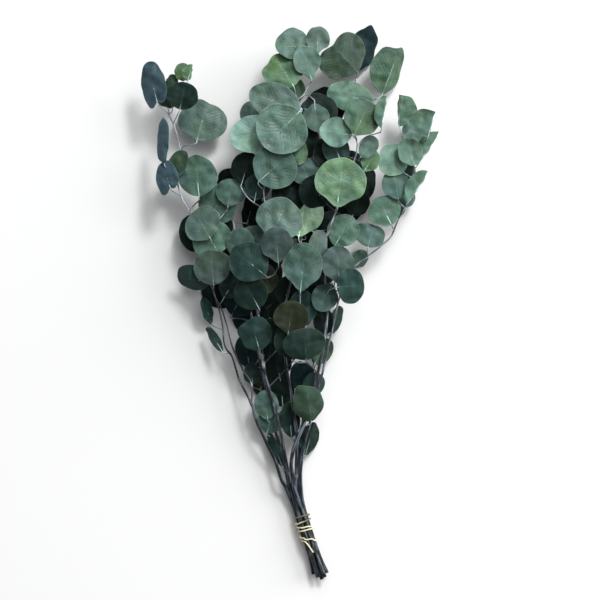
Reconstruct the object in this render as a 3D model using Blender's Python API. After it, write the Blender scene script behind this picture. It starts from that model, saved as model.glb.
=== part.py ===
"""A tied bunch of seven leafy eucalyptus stems, lying on a surface.

Places are read on a laying-out sheet of 600 mm by 600 mm that the bunch lies on: x runs to the right
and y runs down from the sheet's top left corner, with the cut stem ends near the bottom. The part's
own frame has +X to the sheet's right, +Y to its top and +Z up, with the origin on the surface below
the middle of the bunch. Lengths are in millimetres until a mesh is made, and angles in degrees.
"""

import math

import bpy
import numpy as np

MM = 0.001
SHEET_CENTRE = (289.4, 302.5)

# Stems and the bundle
STEM_RADIUS = 2.1
STEM_GAP = 0.3
STEM_PITCH = 2 * STEM_RADIUS + STEM_GAP
BUNDLE_TOP = (300.2, 515.2)
BUNDLE_LEAN = math.radians(17.9)
STRAIGHT_REACH = 46.0
END_SPLAY = 0.023
TIP_RADIUS = 0.65
# How far above the tie a stem has thinned to about a third of its section
THINNING = {"left": 85.0, "right": 110.0, "front_right": 330.0}
USUAL_THINNING = 160.0
STEM_SIDES = 5
TWIG_SIDES = 4

# Leaves
BLADE_THICKNESS = 0.7
BLADE_SIDES = 11
ROOT_HALF_WIDTH = 0.9
PETIOLE_RADIUS = 0.6
PETIOLE_STUB = 3.5
PETIOLE_REACH = 17.0
MOST_TILT = 0.13
HIDDEN_TILT = 0.18
LOFT = 4.0
# The crown is a low dome: its leaves lean outwards, more the further they are from its middle
DOME_MIDDLE = (289.0, 200.0)
DOME_HALF = (110.0, 160.0)
DOME_LEAN = (0.34, 0.16)
PETIOLE_RISE = 15.0
TRIALS = 1

# How the pieces lie on each other
CELL = 1.5
MAP_LOW = (-165.0, -292.0)
MAP_SIZE = (222, 392)
LEAF_GAP = 1.2
WOOD_GAP = 1.0
STEEPEST = 0.4
RING_STEP = 26.0
BEAD_STEP = 4.0

# The tie
BAND_RADIUS = 0.75
BAND_GAP = 0.4
BAND_SIDES = 5
# Each pass of the band over the stems: how far along the bundle it is at its left and at its right
BAND_PASSES = [(3.9, 5.0), (11.0, 9.4), (14.3, 17.6), (18.4, 19.8), (24.3, 33.4), (26.3, 43.0)]
BUNDLE_HEIGHT = 2 * BAND_RADIUS + BAND_GAP + STEM_RADIUS + STEM_PITCH * math.sqrt(3) / 2

# Where each stem runs in the bundle: steps of half a pitch to the right, and rows up
BUNDLE_SEATS = {
    "under_left": (-1, -1),
    "under_right": (1, -1),
    "left": (-2, 0),
    "right": (2, 0),
    "centre": (0, 0),
    "front_left": (-1, 1),
    "front_right": (1, 1),
}

# How far each cut end reaches past the bundle's top
END_REACH = {
    "under_left": 66.0,
    "under_right": 63.0,
    "left": 64.5,
    "right": 67.5,
    "centre": 72.0,
    "front_left": 68.5,
    "front_right": 70.5,
}

# Height of each stem's upper wood where nothing lies under it
CROWN_HEIGHT = {
    "under_left": 10.0,
    "under_right": 12.0,
    "left": 27.0,
    "right": 30.0,
    "centre": 26.0,
    "front_left": 36.0,
    "front_right": 38.0,
}

# Main routes on the sheet, from just above the bundle to the tip, and the forks that leave them
ROUTES = {
    "under_left": [
        [(289.5, 492), (284, 465), (277, 440), (270, 412), (264, 384), (258, 356), (253, 328), (248, 300),
         (243, 275), (238, 250), (233, 225), (229, 200), (227, 186)],
    ],
    "under_right": [
        [(299, 492), (299, 466), (301, 442), (304, 416), (309, 392), (315, 363), (321, 338), (329, 314),
         (334, 290), (339, 266), (345, 242), (352, 219), (359, 197), (367, 176)],
    ],
    "left": [
        [(286.5, 492), (281, 482), (275, 463), (267, 447), (255, 420), (251, 405), (239, 382), (231, 357),
         (224, 346), (221, 322), (216, 302), (208, 279), (199, 253), (193, 230), (190, 213), (180, 195),
         (176, 175), (179, 150), (174, 127), (168, 113)],
        [(251, 405), (251, 385), (243, 372), (237, 359), (231, 346), (226, 326), (221, 310), (214, 296),
         (211, 276), (211, 250)],
    ],
    "right": [
        [(301, 492), (301, 468), (305, 444), (312, 417), (318, 392), (325, 364), (330, 341), (335, 318),
         (340, 297), (347, 279), (356, 266), (368, 256), (380, 247), (391, 237), (396, 226), (401, 215),
         (407, 203), (412, 190), (414, 168), (413, 152), (404, 139)],
        [(413, 152), (423, 142)],
    ],
    "centre": [
        [(296, 492), (296.5, 465), (297, 438), (294, 417), (291, 394), (288, 377), (285, 357), (283, 333),
         (285, 309), (290, 285), (296, 260), (302, 235), (308, 210), (316, 185), (326, 160), (336, 136),
         (345, 113), (352, 92), (357, 76)],
        [(345, 113), (362, 103), (377, 97)],
    ],
    "front_left": [
        [(291.5, 492), (286, 465), (281, 436), (274, 407), (268, 388), (263, 365), (261, 343), (259, 322),
         (256, 302), (254, 283), (257, 262), (264, 240), (266, 215), (264, 190), (266, 167), (270, 143),
         (278, 121), (290, 105), (303, 95), (310, 82)],
        [(268, 388), (282, 374), (295, 359)],
        [(263, 365), (277, 350)],
    ],
    "front_right": [
        [(294.5, 492), (291, 466), (294, 449), (303, 427), (312, 400), (317, 378), (322, 353), (326, 330),
         (327, 306), (325, 283), (324, 261), (325, 241), (331, 225), (337, 208), (346, 188), (352, 168),
         (357, 148), (354, 136)],
        [(325, 241), (312, 231)],
    ],
}

# Leaves that lie under their stem's wood, lowest first. Each row holds the x and y of the blade's
# middle, the heading of its midrib, its length and width, and how far its face leans right and up
UNDER_LEAVES = {
    "under_left": [
        (262, 379, 80, 40, 22, 0.2, 0),
        (250, 318, 95, 38, 38, 0, 0),
        (225, 262, 150, 38, 40, 0, 0),
        (230, 180, 95, 30, 32, 0, 0),
        (246, 352, 100, 34, 24, 0.1, 0),
    ],
    "under_right": [
        (345, 205, 60, 36, 38, 0, 0),
        (318, 268, 100, 36, 36, 0, 0),
        (350, 165, 80, 34, 36, 0, 0),
        (361, 258, 60, 20, 16, 0, 0),
        (370, 182, 80, 34, 14, 0.3, 0),
    ],
    "left": [
        (230, 286, 60, 28, 24, 0, 0),
        (206, 311, 110, 32, 15, 0.74, 0),
        (197, 232, 122, 42, 40, 0, 0),
        (217, 204, 62, 42, 40, 0, 0),
    ],
    "right": [
        (409, 197, 70, 20, 16, 0, 0),
        (397, 203, 92, 28, 22, 0, 0),
        (409, 171, 85, 22, 18, 0, 0),
        (416, 129, 80, 26, 26, 0, 0),
    ],
    "centre": [
        (317, 161, 250, 26, 24, 0, 0),
        (338, 112, 95, 28, 26, 0, 0),
        (326, 110, 110, 25, 25, 0, 0),
        (297, 222, 120, 34, 32, 0, 0),
        (292, 292, 130, 34, 32, 0, 0),
        (365, 46, 74, 44, 32, 0.1, 0),
    ],
    "front_left": [
        (252, 112, 100, 26, 26, 0, 0),
        (246, 168, 75, 32, 32, 0, 0),
        (257, 187, 80, 26, 26, 0, 0),
        (290, 90, 110, 32, 32, 0, 0),
        (267, 279, 88, 30, 24, 0.5, 0),
        (255, 238, 75, 26, 30, 0, 0),
        (240, 243, 80, 30, 28, 0, 0),
        (289, 195, 60, 36, 36, 0, 0),
    ],
    "front_right": [
        (303, 308, 100, 38, 28, 0, 0),
        (336, 150, 110, 30, 28, 0, 0),
    ],
}

# Leaves that lie over their stem's wood, lowest first, in the same columns
OVER_LEAVES = {
    "under_left": [
        (275, 452, 112, 38, 11, 0.3, 0.05),
        (251, 375, 95, 22, 18, 0.3, 0),
        (281, 391, 95, 36, 27, 0, 0),
        (277, 364, 100, 32, 30, 0, 0),
        (270, 423, 75, 26, 27, 0, 0),
        (266, 406, 95, 30, 25, 0, 0),
        (271, 338, 85, 40, 30, 0, 0),
        (238, 302, 60, 32, 32, 0, 0),
        (252, 202, 75, 36, 18, 0, 0),
    ],
    "under_right": [
        (290, 421, 95, 36, 20, 0.05, 0),
        (310, 441, 75, 35, 22, 0.1, 0),
        (303, 378, 110, 32, 26, 0, 0),
        (314, 385, 60, 24, 22, 0, 0),
        (322, 352, 60, 30, 22, 0, 0),
        (336, 320, 68, 36, 15, 0.7, 0.15),
        (324, 322, 95, 28, 22, 0, 0),
        (358, 202, 70, 26, 26, 0, 0),
    ],
    "left": [
        (201, 119, 76, 41, 52, 0, 0.1),
        (230, 192, 80, 28, 30, 0, 0),
        (197, 176, 95, 40, 42, 0, 0),
        (177, 164, 62, 32, 19, -0.2, 0),
        (167, 178, 108, 36, 24, -0.4, 0.1),
        (162, 141, 93, 47, 15, -0.5, 0),
        (171, 80, 100, 16, 14, 0, 0),
        (182, 71, 100, 19, 17, 0, 0),
        (190, 73, 74, 17, 16, 0.1, 0),
        (167, 94, 110, 28, 26, -0.3, 0),
        (183, 96, 75, 28, 33, 0, 0),
        (153, 86, 104, 46, 29, -0.45, 0),
        (192, 279, 168, 38, 30, -0.3, -0.3),
        (211, 239, 115, 34, 42, 0, 0),
        (202, 224, 120, 33, 41, 0, 0),
        (212, 267, 95, 36, 40, 0, 0),
        (214, 340, 123, 31, 11, -0.4, 0.1),
    ],
    "right": [
        (371, 235, 75, 25, 36, 0, 0),
        (385, 211, 115, 31, 34, 0, 0),
        (396, 184, 100, 31, 29, 0, 0),
        (418, 187, 58, 38, 24, 0.05, 0),
        (428, 149, 57, 39, 24, 0.05, 0),
        (394, 160, 130, 32, 35, 0, 0),
        (410, 152, 105, 29, 29, 0, 0),
        (400, 110, 90, 31, 36, -0.05, 0),
        (430, 126, 75, 27, 44, 0.05, 0),
    ],
    "centre": [
        (351, 95, 165, 47, 31, 0, 0),
        (392, 69, 69, 50, 44, 0.05, 0),
        (344, 55, 133, 42, 53, 0, 0),
        (343, 231, 62, 34, 32, 0, 0),
        (303, 213, 80, 46, 42, 0, 0),
        (370, 161, 62, 24, 20, 0, 0),
        (368, 148, 52, 26, 18, 0.3, 0),
    ],
    "front_left": [
        (284, 71, 122, 37, 42, 0, 0),
        (316, 117, 275, 28, 27, 0, 0.2),
        (305, 172, 110, 28, 28, 0, 0),
        (292, 152, 60, 30, 32, 0, 0),
        (255, 134, 190, 50, 38, 0, 0),
        (275, 102, 158, 54, 36, 0, 0),
        (292, 43, 133, 32, 35, 0, 0),
        (318, 39, 86, 28, 24, 0, 0),
        (307, 62, 105, 32, 28, 0, 0),
        (279, 220, 66, 42, 48, 0, 0),
        (275, 168, 42, 43, 46, 0, 0),
        (282, 130, 225, 50, 54, 0, 0),
        (251, 293, 118, 35, 35, 0, 0),
        (255, 334, 105, 35, 34, 0, 0),
        (249, 262, 140, 42, 40, 0, 0),
        (277, 245, 95, 35, 32, 0, 0),
    ],
    "front_right": [
        (309, 405, 98, 38, 33, 0, 0),
        (325, 297, 240, 30, 26, 0, 0),
        (318, 246, 80, 34, 20, 0.4, 0),
        (338, 265, 95, 37, 34, 0, 0),
        (350, 286, 5, 28, 37, 0, 0),
        (291, 341, 95, 38, 34, 0, 0),
        (291, 317, 80, 34, 35, 0, 0),
        (336, 134, 168, 31, 30, 0, 0),
        (362, 119, 65, 38, 37, 0, 0),
        (383, 114, 81, 33, 19, 0.05, 0),
        (303, 267, 84, 47, 38, 0, 0),
        (340, 184, 82, 47, 52, 0, 0),
        (305, 344, 95, 33, 44, 0, 0),
    ],
}

# Blades that are folded along the midrib, by their middles: how far the half to the left of the midrib and
# the half to its right are turned down
FOLDS = {
    (392, 69): (4, 60),
    (400, 110): (84, 4),
    (430, 126): (4, 84),
    (428, 149): (6, 82),
    (418, 187): (6, 82),
    (383, 114): (4, 82),
    (190, 73): (4, 78),
    (365, 46): (4, 40),
    (344, 55): (10, 10),
    (192, 279): (34, 10),
    (255, 334): (20, 12),
    (305, 344): (8, 14),
    (309, 405): (12, 22),
    (310, 441): (8, 34),
    (201, 119): (12, 6),
    (371, 235): (12, 26),
    (214, 340): (20, 0),
}

# Blades with uneven rims, by their middles: the rim reaches further, or less far, by a share at an angle in
# degrees from the root over the left half, and that fades over the last number of degrees
ACUTE = [(0, 0.06, 13), (36, -0.06, 22), (324, -0.06, 22)]
LOBES = {
    (340, 184): ACUTE,
    (318, 39): ACUTE,
    (307, 62): [(0, 0.14, 14), (40, -0.14, 24), (320, -0.14, 24)],
    (303, 213): ACUTE,
    (277, 245): ACUTE,
    (338, 265): ACUTE,
    (303, 267): ACUTE,
    (362, 119): [(0, 0.08, 14), (180, -0.06, 20)],
    (344, 55): [(231, 0.14, 25), (121, 0.06, 25), (180, -0.16, 22)],
    (365, 46): [(180, 0.14, 14), (235, 0.10, 20)],
    (284, 71): [(125, 0.09, 14), (152, -0.06, 12), (182, 0.05, 12), (215, -0.07, 16), (245, 0.07, 14)],
    (153, 86): [(0, -0.30, 22), (32, 0.14, 20), (207, 0.12, 20)],
    (162, 141): [(180, 0.08, 10), (55, 0.22, 25), (125, -0.24, 25), (235, 0.22, 25), (305, -0.24, 25)],
    (167, 178): [(0, -0.38, 24), (45, 0.24, 24), (213, 0.10, 20)],
    (201, 119): [(161, 0.08, 12), (188, -0.08, 10)],
    (255, 334): [(108, 0.12, 16), (80, -0.06, 10), (158, -0.14, 22), (222, 0.05, 16)],
    (309, 405): [(152, 0.26, 18), (293, 0.08, 18)],
    (371, 235): [(182, -0.14, 18), (120, 0.06, 16), (240, 0.08, 16)],
    (392, 69): [(188, 0.13, 14), (140, 0.08, 16)],
    (430, 126): [(150, 0.12, 16)],
    (400, 110): [(215, 0.12, 18), (320, -0.08, 20)],
    (275, 102): [(60, 0.05, 20), (200, 0.05, 18)],
    (251, 293): [(95, 0.06, 16), (150, -0.05, 14)],
    (212, 267): [(250, 0.06, 18), (300, -0.05, 16), (200, -0.05, 12)],
    (202, 224): [(215, 0.07, 16), (170, -0.03, 14)],
}

# Leaves added by rule under the wood of a stem: first and last y on its route, and the seed
HIDDEN_LEAVES = {
    "under_left": (350, 180, 11),
    "under_right": (330, 170, 12),
    "left": (300, 225, 16),
    "centre": (320, 90, 13),
    "front_left": (198, 90, 14),
    "front_right": (222, 140, 15),
}
HIDDEN_STEP = 22.0
# The crown's outline on the sheet: a leaf added by rule stays inside it
CROWN = [
    (300, 60), (345, 42), (380, 62), (376, 100), (368, 130), (372, 160), (366, 196), (372, 214), (362, 262),
    (360, 296), (338, 320), (326, 350), (322, 400), (300, 424), (262, 430), (244, 366), (238, 322), (206, 300),
    (188, 284), (196, 262), (184, 240), (190, 216), (216, 190), (242, 176), (240, 130), (262, 84),
]
HIDDEN_SIZE = (32.0, 40.0)
HIDDEN_SPLAY = (48.0, 72.0)
HIDDEN_PETIOLE = 11.0
FLAT_LEAVES = 4

LEAF_SEEDS = {
    "under_left": 21,
    "under_right": 22,
    "left": 23,
    "right": 24,
    "centre": 25,
    "front_left": 26,
    "front_right": 27,
}

# Finishes: colour, then roughness
LEAFAGE = ((0.055, 0.110, 0.085, 1.0), 0.55)
RUBBER = ((0.72, 0.66, 0.33, 1.0), 0.6)


def on_sheet(x, y):
    """The frame's X and Y of a point on the sheet."""
    return np.array([x - SHEET_CENTRE[0], SHEET_CENTRE[1] - y])


def unit(vector):
    return vector / np.linalg.norm(vector)


def bundle_point(along, across):
    """A point in the bundle: along its axis from its top towards the cut ends, and across to the right."""
    axis = np.array([math.sin(BUNDLE_LEAN), -math.cos(BUNDLE_LEAN)])
    side = np.array([math.cos(BUNDLE_LEAN), math.sin(BUNDLE_LEAN)])
    return on_sheet(*BUNDLE_TOP) + along * axis + across * side


class HeightMap:
    """The top of everything laid so far, in square cells over the surface."""

    def __init__(self):
        self.top = np.zeros(MAP_SIZE)

    def cells(self, points):
        found = np.round((points[:, :2] - MAP_LOW) / CELL).astype(int)
        return np.clip(found, 1, np.array(MAP_SIZE) - 2)

    def below(self, points):
        """The highest top within a cell of each point."""
        cells = self.cells(points)
        near = [
            self.top[cells[:, 0] + i, cells[:, 1] + j] for i in (-1, 0, 1) for j in (-1, 0, 1)
        ]
        return np.max(near, axis=0)

    def add(self, points):
        cells = self.cells(points)
        np.maximum.at(self.top, (cells[:, 0], cells[:, 1]), points[:, 2])

    def copy(self):
        other = HeightMap()
        other.top = self.top.copy()
        return other


class Leaf:
    """A round blade on a petiole: where it lies, how it is turned, and how it is cupped and waved."""

    def __init__(self, row, draw, most_tilt):
        x, y, heading, self.length, self.width, lean_right, lean_up = row
        tilt = draw.uniform(-1, 1, 2) * most_tilt
        shape = draw.uniform(-1, 1, 5)
        self.loft = draw.uniform(-LOFT, LOFT)
        self.flat = most_tilt == 0
        if self.flat:
            shape = shape * 0.0
        elif lean_right or lean_up:
            tilt = tilt * 0.4
        else:
            lean_right = DOME_LEAN[0] * max(-1, min(1, (x - DOME_MIDDLE[0]) / DOME_HALF[0]))
            lean_up = DOME_LEAN[1] * max(-1, min(1, (DOME_MIDDLE[1] - y) / DOME_HALF[1]))
        right = lean_right + tilt[0]
        up = lean_up + tilt[1]
        self.normal = np.array([right, up, math.sqrt(1 - right**2 - up**2)])
        turn = math.radians(heading)
        rise = -(right * math.cos(turn) + up * math.sin(turn)) / self.normal[2]
        self.ahead = unit(np.array([math.cos(turn), math.sin(turn), rise]))
        self.side = np.cross(self.normal, self.ahead)
        self.middle = np.append(on_sheet(x, y), 0.0)
        self.cup = 0.05 * self.width * shape[0]
        self.curl = 0.05 * self.length * shape[1]
        self.wave = 0.03 * self.width * shape[2]
        self.phase = math.pi * shape[3]
        self.point = 0.06 * shape[4]
        self.taper = 0.07 + 0.05 * shape[3]
        self.folds = [math.radians(angle) for angle in FOLDS.get((x, y), (0, 0))]
        self.lobes = np.radians(LOBES.get((x, y), np.zeros((0, 3)))).reshape(-1, 3)
        self.least = 0.0

    def outline(self, angle):
        """Reach of the rim at an angle from the root, as a share of a plain oval's: the base is narrower
        on both sides of the root, and the tip is blunt or has a slight point."""
        from_tip = np.abs(np.mod(angle, 2 * math.pi) - math.pi)
        from_root = math.pi - from_tip
        reach = (
            1
            - self.taper * np.exp(-(((from_root - 0.6) / 0.35) ** 2))
            + self.point * np.exp(-((from_tip / 0.5) ** 2))
        )
        for middle, more, spread in self.lobes:
            apart = np.abs(np.mod(angle - middle + math.pi, 2 * math.pi) - math.pi)
            reach = reach + math.degrees(more) * np.exp(-((apart / spread) ** 2))
        return reach

    def turned(self, across):
        """Across and up of points at distances from the midrib, with each half turned down by its fold."""
        fold = np.where(across > 0, self.folds[0], self.folds[1])
        return across * np.cos(fold), -np.abs(across) * np.sin(fold)

    def normals(self, angle):
        """The upper face's normal at an angle from the root: each half's own, and the mean of the two on
        the midrib."""
        side = np.sign(np.round(np.sin(angle), 6))
        fold = np.where(side > 0, self.folds[0], self.folds[1]) * np.abs(side)
        return np.cos(fold)[..., None] * self.normal + (side * np.sin(fold))[..., None] * self.side

    def blade(self, share, angle):
        """Points of the blade's middle face: a share of the way from its middle to its rim, at an angle
        from the root. It is cupped across the midrib, curled along it, and waved towards the rim."""
        reach = share * self.outline(angle)
        along = -np.cos(angle) * reach * self.length / 2
        across = np.sin(angle) * reach * self.width / 2
        lift = (
            self.cup * (share * np.sin(angle)) ** 2
            + self.curl * (share * np.cos(angle)) ** 2
            + self.wave * share**3 * np.sin(2 * angle + self.phase) * np.sin(angle / 2)
        )
        across, drop = self.turned(across)
        lift = lift + drop
        return (
            self.middle
            + along[..., None] * self.ahead
            + across[..., None] * self.side
            + lift[..., None] * self.normal
        )

    def footprint(self):
        """Points all over the blade, about a cell apart."""
        rings = np.linspace(0, 1, int(max(self.length, self.width) / 2 / CELL) + 2)
        angles = np.linspace(0, 2 * math.pi, int(math.pi * self.length / CELL), endpoint=False)
        share, angle = np.meshgrid(rings, angles)
        return self.blade(share.ravel(), angle.ravel())

    def root(self):
        return self.blade(np.array([1.0]), np.array([0.0]))[0]

    def petiole(self):
        """The petiole's middle line: it leaves the blade along the midrib and turns to its joint."""
        root = self.root()
        reach = np.linalg.norm(self.joint - root)
        bend = root - self.ahead * min(0.5 * reach, PETIOLE_STUB)
        middle = 0.25 * root + 0.5 * bend + 0.25 * self.joint
        middle[2] += self.lift
        return np.array([root, middle, self.joint])


class Wood:
    """A stem and its twigs as a tree of rings, joined by straight runs."""

    def __init__(self, name):
        self.rings = []
        self.parents = []
        self.pinned = []
        self.lines = []
        self.carried = []
        self.thinning = THINNING.get(name, USUAL_THINNING)
        seat = BUNDLE_SEATS[name]
        across = seat[0] * STEM_PITCH / 2
        height = BUNDLE_HEIGHT + seat[1] * STEM_PITCH * math.sqrt(3) / 2
        spread = 1 + END_SPLAY * (END_REACH[name] - STRAIGHT_REACH)
        run = [
            bundle_point(END_REACH[name], across * spread),
            bundle_point(STRAIGHT_REACH, across),
            bundle_point(0, across),
        ]
        pinned = [height, height, height]
        main, *forks = ROUTES[name]
        self.grow(run + self.spaced([on_sheet(*p) for p in main]), None, pinned)
        for fork in forks:
            start = int(np.argmin([np.linalg.norm(r - on_sheet(*fork[0])) for r in self.rings]))
            self.grow(self.spaced([on_sheet(*p) for p in fork])[1:], start, [])

    @staticmethod
    def spaced(points):
        """The same route with a point halfway along each run longer than RING_STEP."""
        found = [points[0]]
        for before, after in zip(points, points[1:]):
            if np.linalg.norm(after - before) > RING_STEP:
                found.append((before + after) / 2)
            found.append(after)
        return found

    def grow(self, points, start, pinned):
        """Adds a line of rings that starts at a ring that is there, or at its own first point."""
        line = [] if start is None else [start]
        for number, point in enumerate(points):
            self.rings.append(np.array(point))
            self.parents.append(line[-1] if line else -1)
            self.pinned.append(pinned[number] if number < len(pinned) else None)
            self.carried.append(0)
            line.append(len(self.rings) - 1)
        self.lines.append(line)
        return line

    def beads(self):
        """Points about BEAD_STEP apart on every run: place, lower ring, upper ring, share of the way up."""
        rows = []
        for ring, parent in enumerate(self.parents):
            if parent < 0:
                continue
            length = np.linalg.norm(self.rings[ring] - self.rings[parent])
            for share in np.linspace(0, 1, max(2, int(length / BEAD_STEP) + 1)):
                place = self.rings[parent] * (1 - share) + self.rings[ring] * share
                rows.append((place[0], place[1], parent, ring, share))
        return np.array(rows)

    def carry(self, ring):
        """Counts one more leaf on every ring from this one down to the cut end."""
        while ring >= 0:
            self.carried[ring] += 1
            ring = self.parents[ring]

    def radii(self):
        """A stem's section grows with the share of the leaves that it carries and thins away from the tie."""
        carried = np.array(self.carried, float)
        above = np.maximum(np.array(self.rings)[:, 1] - bundle_point(0, 0)[1], 0)
        share = carried / carried[0] * np.exp(-above / self.thinning)
        return np.sqrt(TIP_RADIUS**2 + share * (STEM_RADIUS**2 - TIP_RADIUS**2))


def growth_cost(places, heads, target):
    """Distance from each place to a target, more where the wood there grows away from it."""
    away = target - places
    distance = np.linalg.norm(away, axis=1)
    forward = np.sum(away * heads, axis=1) / np.maximum(distance, 0.1)
    return distance * (1 + 0.7 * (1 - forward))


def join_leaves(wood, leaves):
    """Joins every leaf to its stem, the nearest first: by its petiole alone where it is near enough,
    and otherwise by a new twig from a ring, which later leaves may join too."""
    waiting = list(leaves)
    while waiting:
        beads = wood.beads()
        beads = beads[beads[:, 1] > bundle_point(-18, 0)[1]]
        rings = np.array(wood.rings)
        heads = rings[beads[:, 3].astype(int)] - rings[beads[:, 2].astype(int)]
        heads = heads / np.linalg.norm(heads, axis=1)[:, None]
        best = None
        for leaf in waiting:
            target = leaf.root()[:2] - PETIOLE_STUB * unit(leaf.ahead[:2])
            cost = growth_cost(beads[:, :2], heads, target)
            nearest = int(np.argmin(cost))
            if best is None or cost[nearest] < best[0]:
                best = (cost[nearest], leaf, nearest, target)
        cost, leaf, nearest, target = best
        if cost > PETIOLE_REACH:
            at_rings = np.flatnonzero(beads[:, 4] == 1)
            ring_cost = growth_cost(beads[at_rings, :2], heads[at_rings], target)
            chosen = at_rings[int(np.argmin(ring_cost))]
            start = int(beads[chosen, 3])
            first = rings[start]
            reach = np.linalg.norm(target - first)
            turn = first + heads[chosen] * 0.4 * reach
            steps = max(2, int(round(reach / RING_STEP)) + 1)
            shares = np.linspace(0, 1, steps + 1)[1:, None]
            curve = (1 - shares) ** 2 * first + 2 * shares * (1 - shares) * turn + shares**2 * target
            line = wood.grow(list(curve), start, [])
            leaf.hold = (line[-2], line[-1], 1.0)
        else:
            leaf.hold = (int(beads[nearest, 2]), int(beads[nearest, 3]), beads[nearest, 4])
        wood.carry(leaf.hold[1])
        waiting.remove(leaf)


def natural_height(name, place):
    """Height of the wood where nothing lifts it: it climbs from the bundle to the crown."""
    seat = BUNDLE_HEIGHT + BUNDLE_SEATS[name][1] * STEM_PITCH * math.sqrt(3) / 2
    above = np.linalg.norm(place - bundle_point(0, 0))
    share = min(above / 300.0, 1.0)
    return seat + (CROWN_HEIGHT[name] - seat) * share * share * (3 - 2 * share)


def lift_wood(name, wood, blades, older):
    """Heights of the rings: over the leaves below, over the wood of the older stems wherever a run
    passes it, and never steeper than STEEPEST from ring to ring."""
    rings = np.array(wood.rings)
    radii = wood.radii()
    need = np.array([natural_height(name, place) for place in rings])
    need = np.maximum(need, wood.wanted)
    beads = wood.beads()
    lower = beads[:, 2].astype(int)
    upper = beads[:, 3].astype(int)
    share = beads[:, 4]
    radius = radii[lower] * (1 - share) + radii[upper] * share
    wanted = blades.below(beads) + radius + WOOD_GAP
    if len(older):
        apart = np.linalg.norm(beads[:, None, :2] - older[None, :, :2], axis=2)
        clear = radius[:, None] + older[None, :, 3] + WOOD_GAP
        rise = np.sqrt(np.maximum(clear**2 - apart**2, 0))
        over = np.where(apart < clear, older[None, :, 2] + rise, 0)
        wanted = np.maximum(wanted, over.max(axis=1))
    free = beads[:, 1] > bundle_point(-4, 0)[1]
    np.maximum.at(need, lower[free], wanted[free])
    np.maximum.at(need, upper[free], wanted[free])
    for ring in reversed(range(len(rings))):
        parent = wood.parents[ring]
        if parent >= 0:
            run = np.linalg.norm(rings[ring] - rings[parent])
            need[parent] = max(need[parent], need[ring] - STEEPEST * run)
    for ring in range(len(rings)):
        parent = wood.parents[ring]
        if wood.pinned[ring] is not None:
            need[ring] = wood.pinned[ring]
        elif parent >= 0:
            run = np.linalg.norm(rings[ring] - rings[parent])
            need[ring] = max(need[ring], need[parent] - STEEPEST * run)
    wood.places = np.column_stack([rings, need])
    wood.radius = radii
    height = need[lower] * (1 - share) + need[upper] * share
    return np.column_stack([beads[:, :2], height, radius])


def rest_leaf(leaf, heights):
    """Lifts a leaf until it clears what lies under it, and its root reaches its least height."""
    leaf.middle[2] = 0.0
    points = leaf.footprint()
    clear = heights.below(points) + BLADE_THICKNESS / 2 - points[:, 2]
    gap = 0.0 if leaf.flat else LEAF_GAP
    leaf.middle[2] = max(clear.max() + gap, leaf.least - leaf.root()[2])


def cover(points, thickness):
    """The points of a face's top, half a thickness up."""
    raised = points.copy()
    raised[:, 2] += thickness
    return raised


def hang_petiole(leaf, wood, below):
    """Fixes a leaf's joint on the wood, and arches its petiole over what lies below."""
    leaf.joint = joint_of(wood, leaf)
    leaf.lift = 0.0
    root, middle, joint = leaf.petiole()
    for share in (0.4, 0.6, 0.8, 1.0):
        for end in (root, joint):
            place = end * (1 - share) + middle * share
            short = below.below(place[None])[0] + PETIOLE_RADIUS + LEAF_GAP - place[2]
            leaf.lift = max(leaf.lift, short / share)


def in_crown(x, y):
    """Whether a point is inside the crown's outline: a line from it crosses the outline an odd number
    of times."""
    inside = False
    for (x0, y0), (x1, y1) in zip(CROWN, CROWN[1:] + CROWN[:1]):
        if (y0 > y) != (y1 > y) and x < x0 + (x1 - x0) * (y - y0) / (y1 - y0):
            inside = not inside
    return inside


def hidden_rows(name):
    """Leaves by rule along a stem's route, left and right by turns, at a seeded size and splay."""
    if name not in HIDDEN_LEAVES:
        return []
    first, last, seed = HIDDEN_LEAVES[name]
    draw = np.random.default_rng(seed)
    route = ROUTES[name][0]
    points = np.array(route, float)
    runs = np.linalg.norm(np.diff(points, axis=0), axis=1)
    travelled = np.concatenate([[0], np.cumsum(runs)])
    rows = []
    for number, distance in enumerate(np.arange(0, travelled[-1], HIDDEN_STEP)):
        x = np.interp(distance, travelled, points[:, 0])
        y = np.interp(distance, travelled, points[:, 1])
        ahead_x = np.interp(distance + 5, travelled, points[:, 0]) - x
        ahead_y = np.interp(distance + 5, travelled, points[:, 1]) - y
        size = draw.uniform(*HIDDEN_SIZE)
        splay = draw.uniform(*HIDDEN_SPLAY)
        if not last < y < first:
            continue
        side = 1 if number % 2 else -1
        heading = math.degrees(math.atan2(-ahead_y, ahead_x)) + side * splay
        reach = HIDDEN_PETIOLE + size / 2
        turn = math.radians(heading)
        x += reach * math.cos(turn)
        y -= reach * math.sin(turn)
        edges = [(x - size / 2, y), (x + size / 2, y), (x, y - size / 2), (x, y + size / 2)]
        if all(in_crown(*edge) for edge in edges):
            rows.append((x, y, heading, size, size, 0, 0))
    return rows


class Pile:
    """What has been laid so far: the top of everything, the top of the leaves alone, and the wood."""

    def __init__(self):
        self.everything = HeightMap()
        self.blades = HeightMap()
        self.wood = np.zeros((0, 4))

    def copy(self):
        other = Pile()
        other.everything = self.everything.copy()
        other.blades = self.blades.copy()
        other.wood = self.wood.copy()
        return other

    def add_leafage(self, points, thickness):
        self.everything.add(cover(points, thickness))
        self.blades.add(cover(points, thickness))

    def add_wood(self, beads):
        self.everything.add(cover(beads[:, :3], beads[:, 3].max()))
        self.wood = np.vstack([self.wood, beads])


def joint_of(wood, leaf):
    low, high, share = leaf.hold
    return wood.places[low] * (1 - share) + wood.places[high] * share


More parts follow.
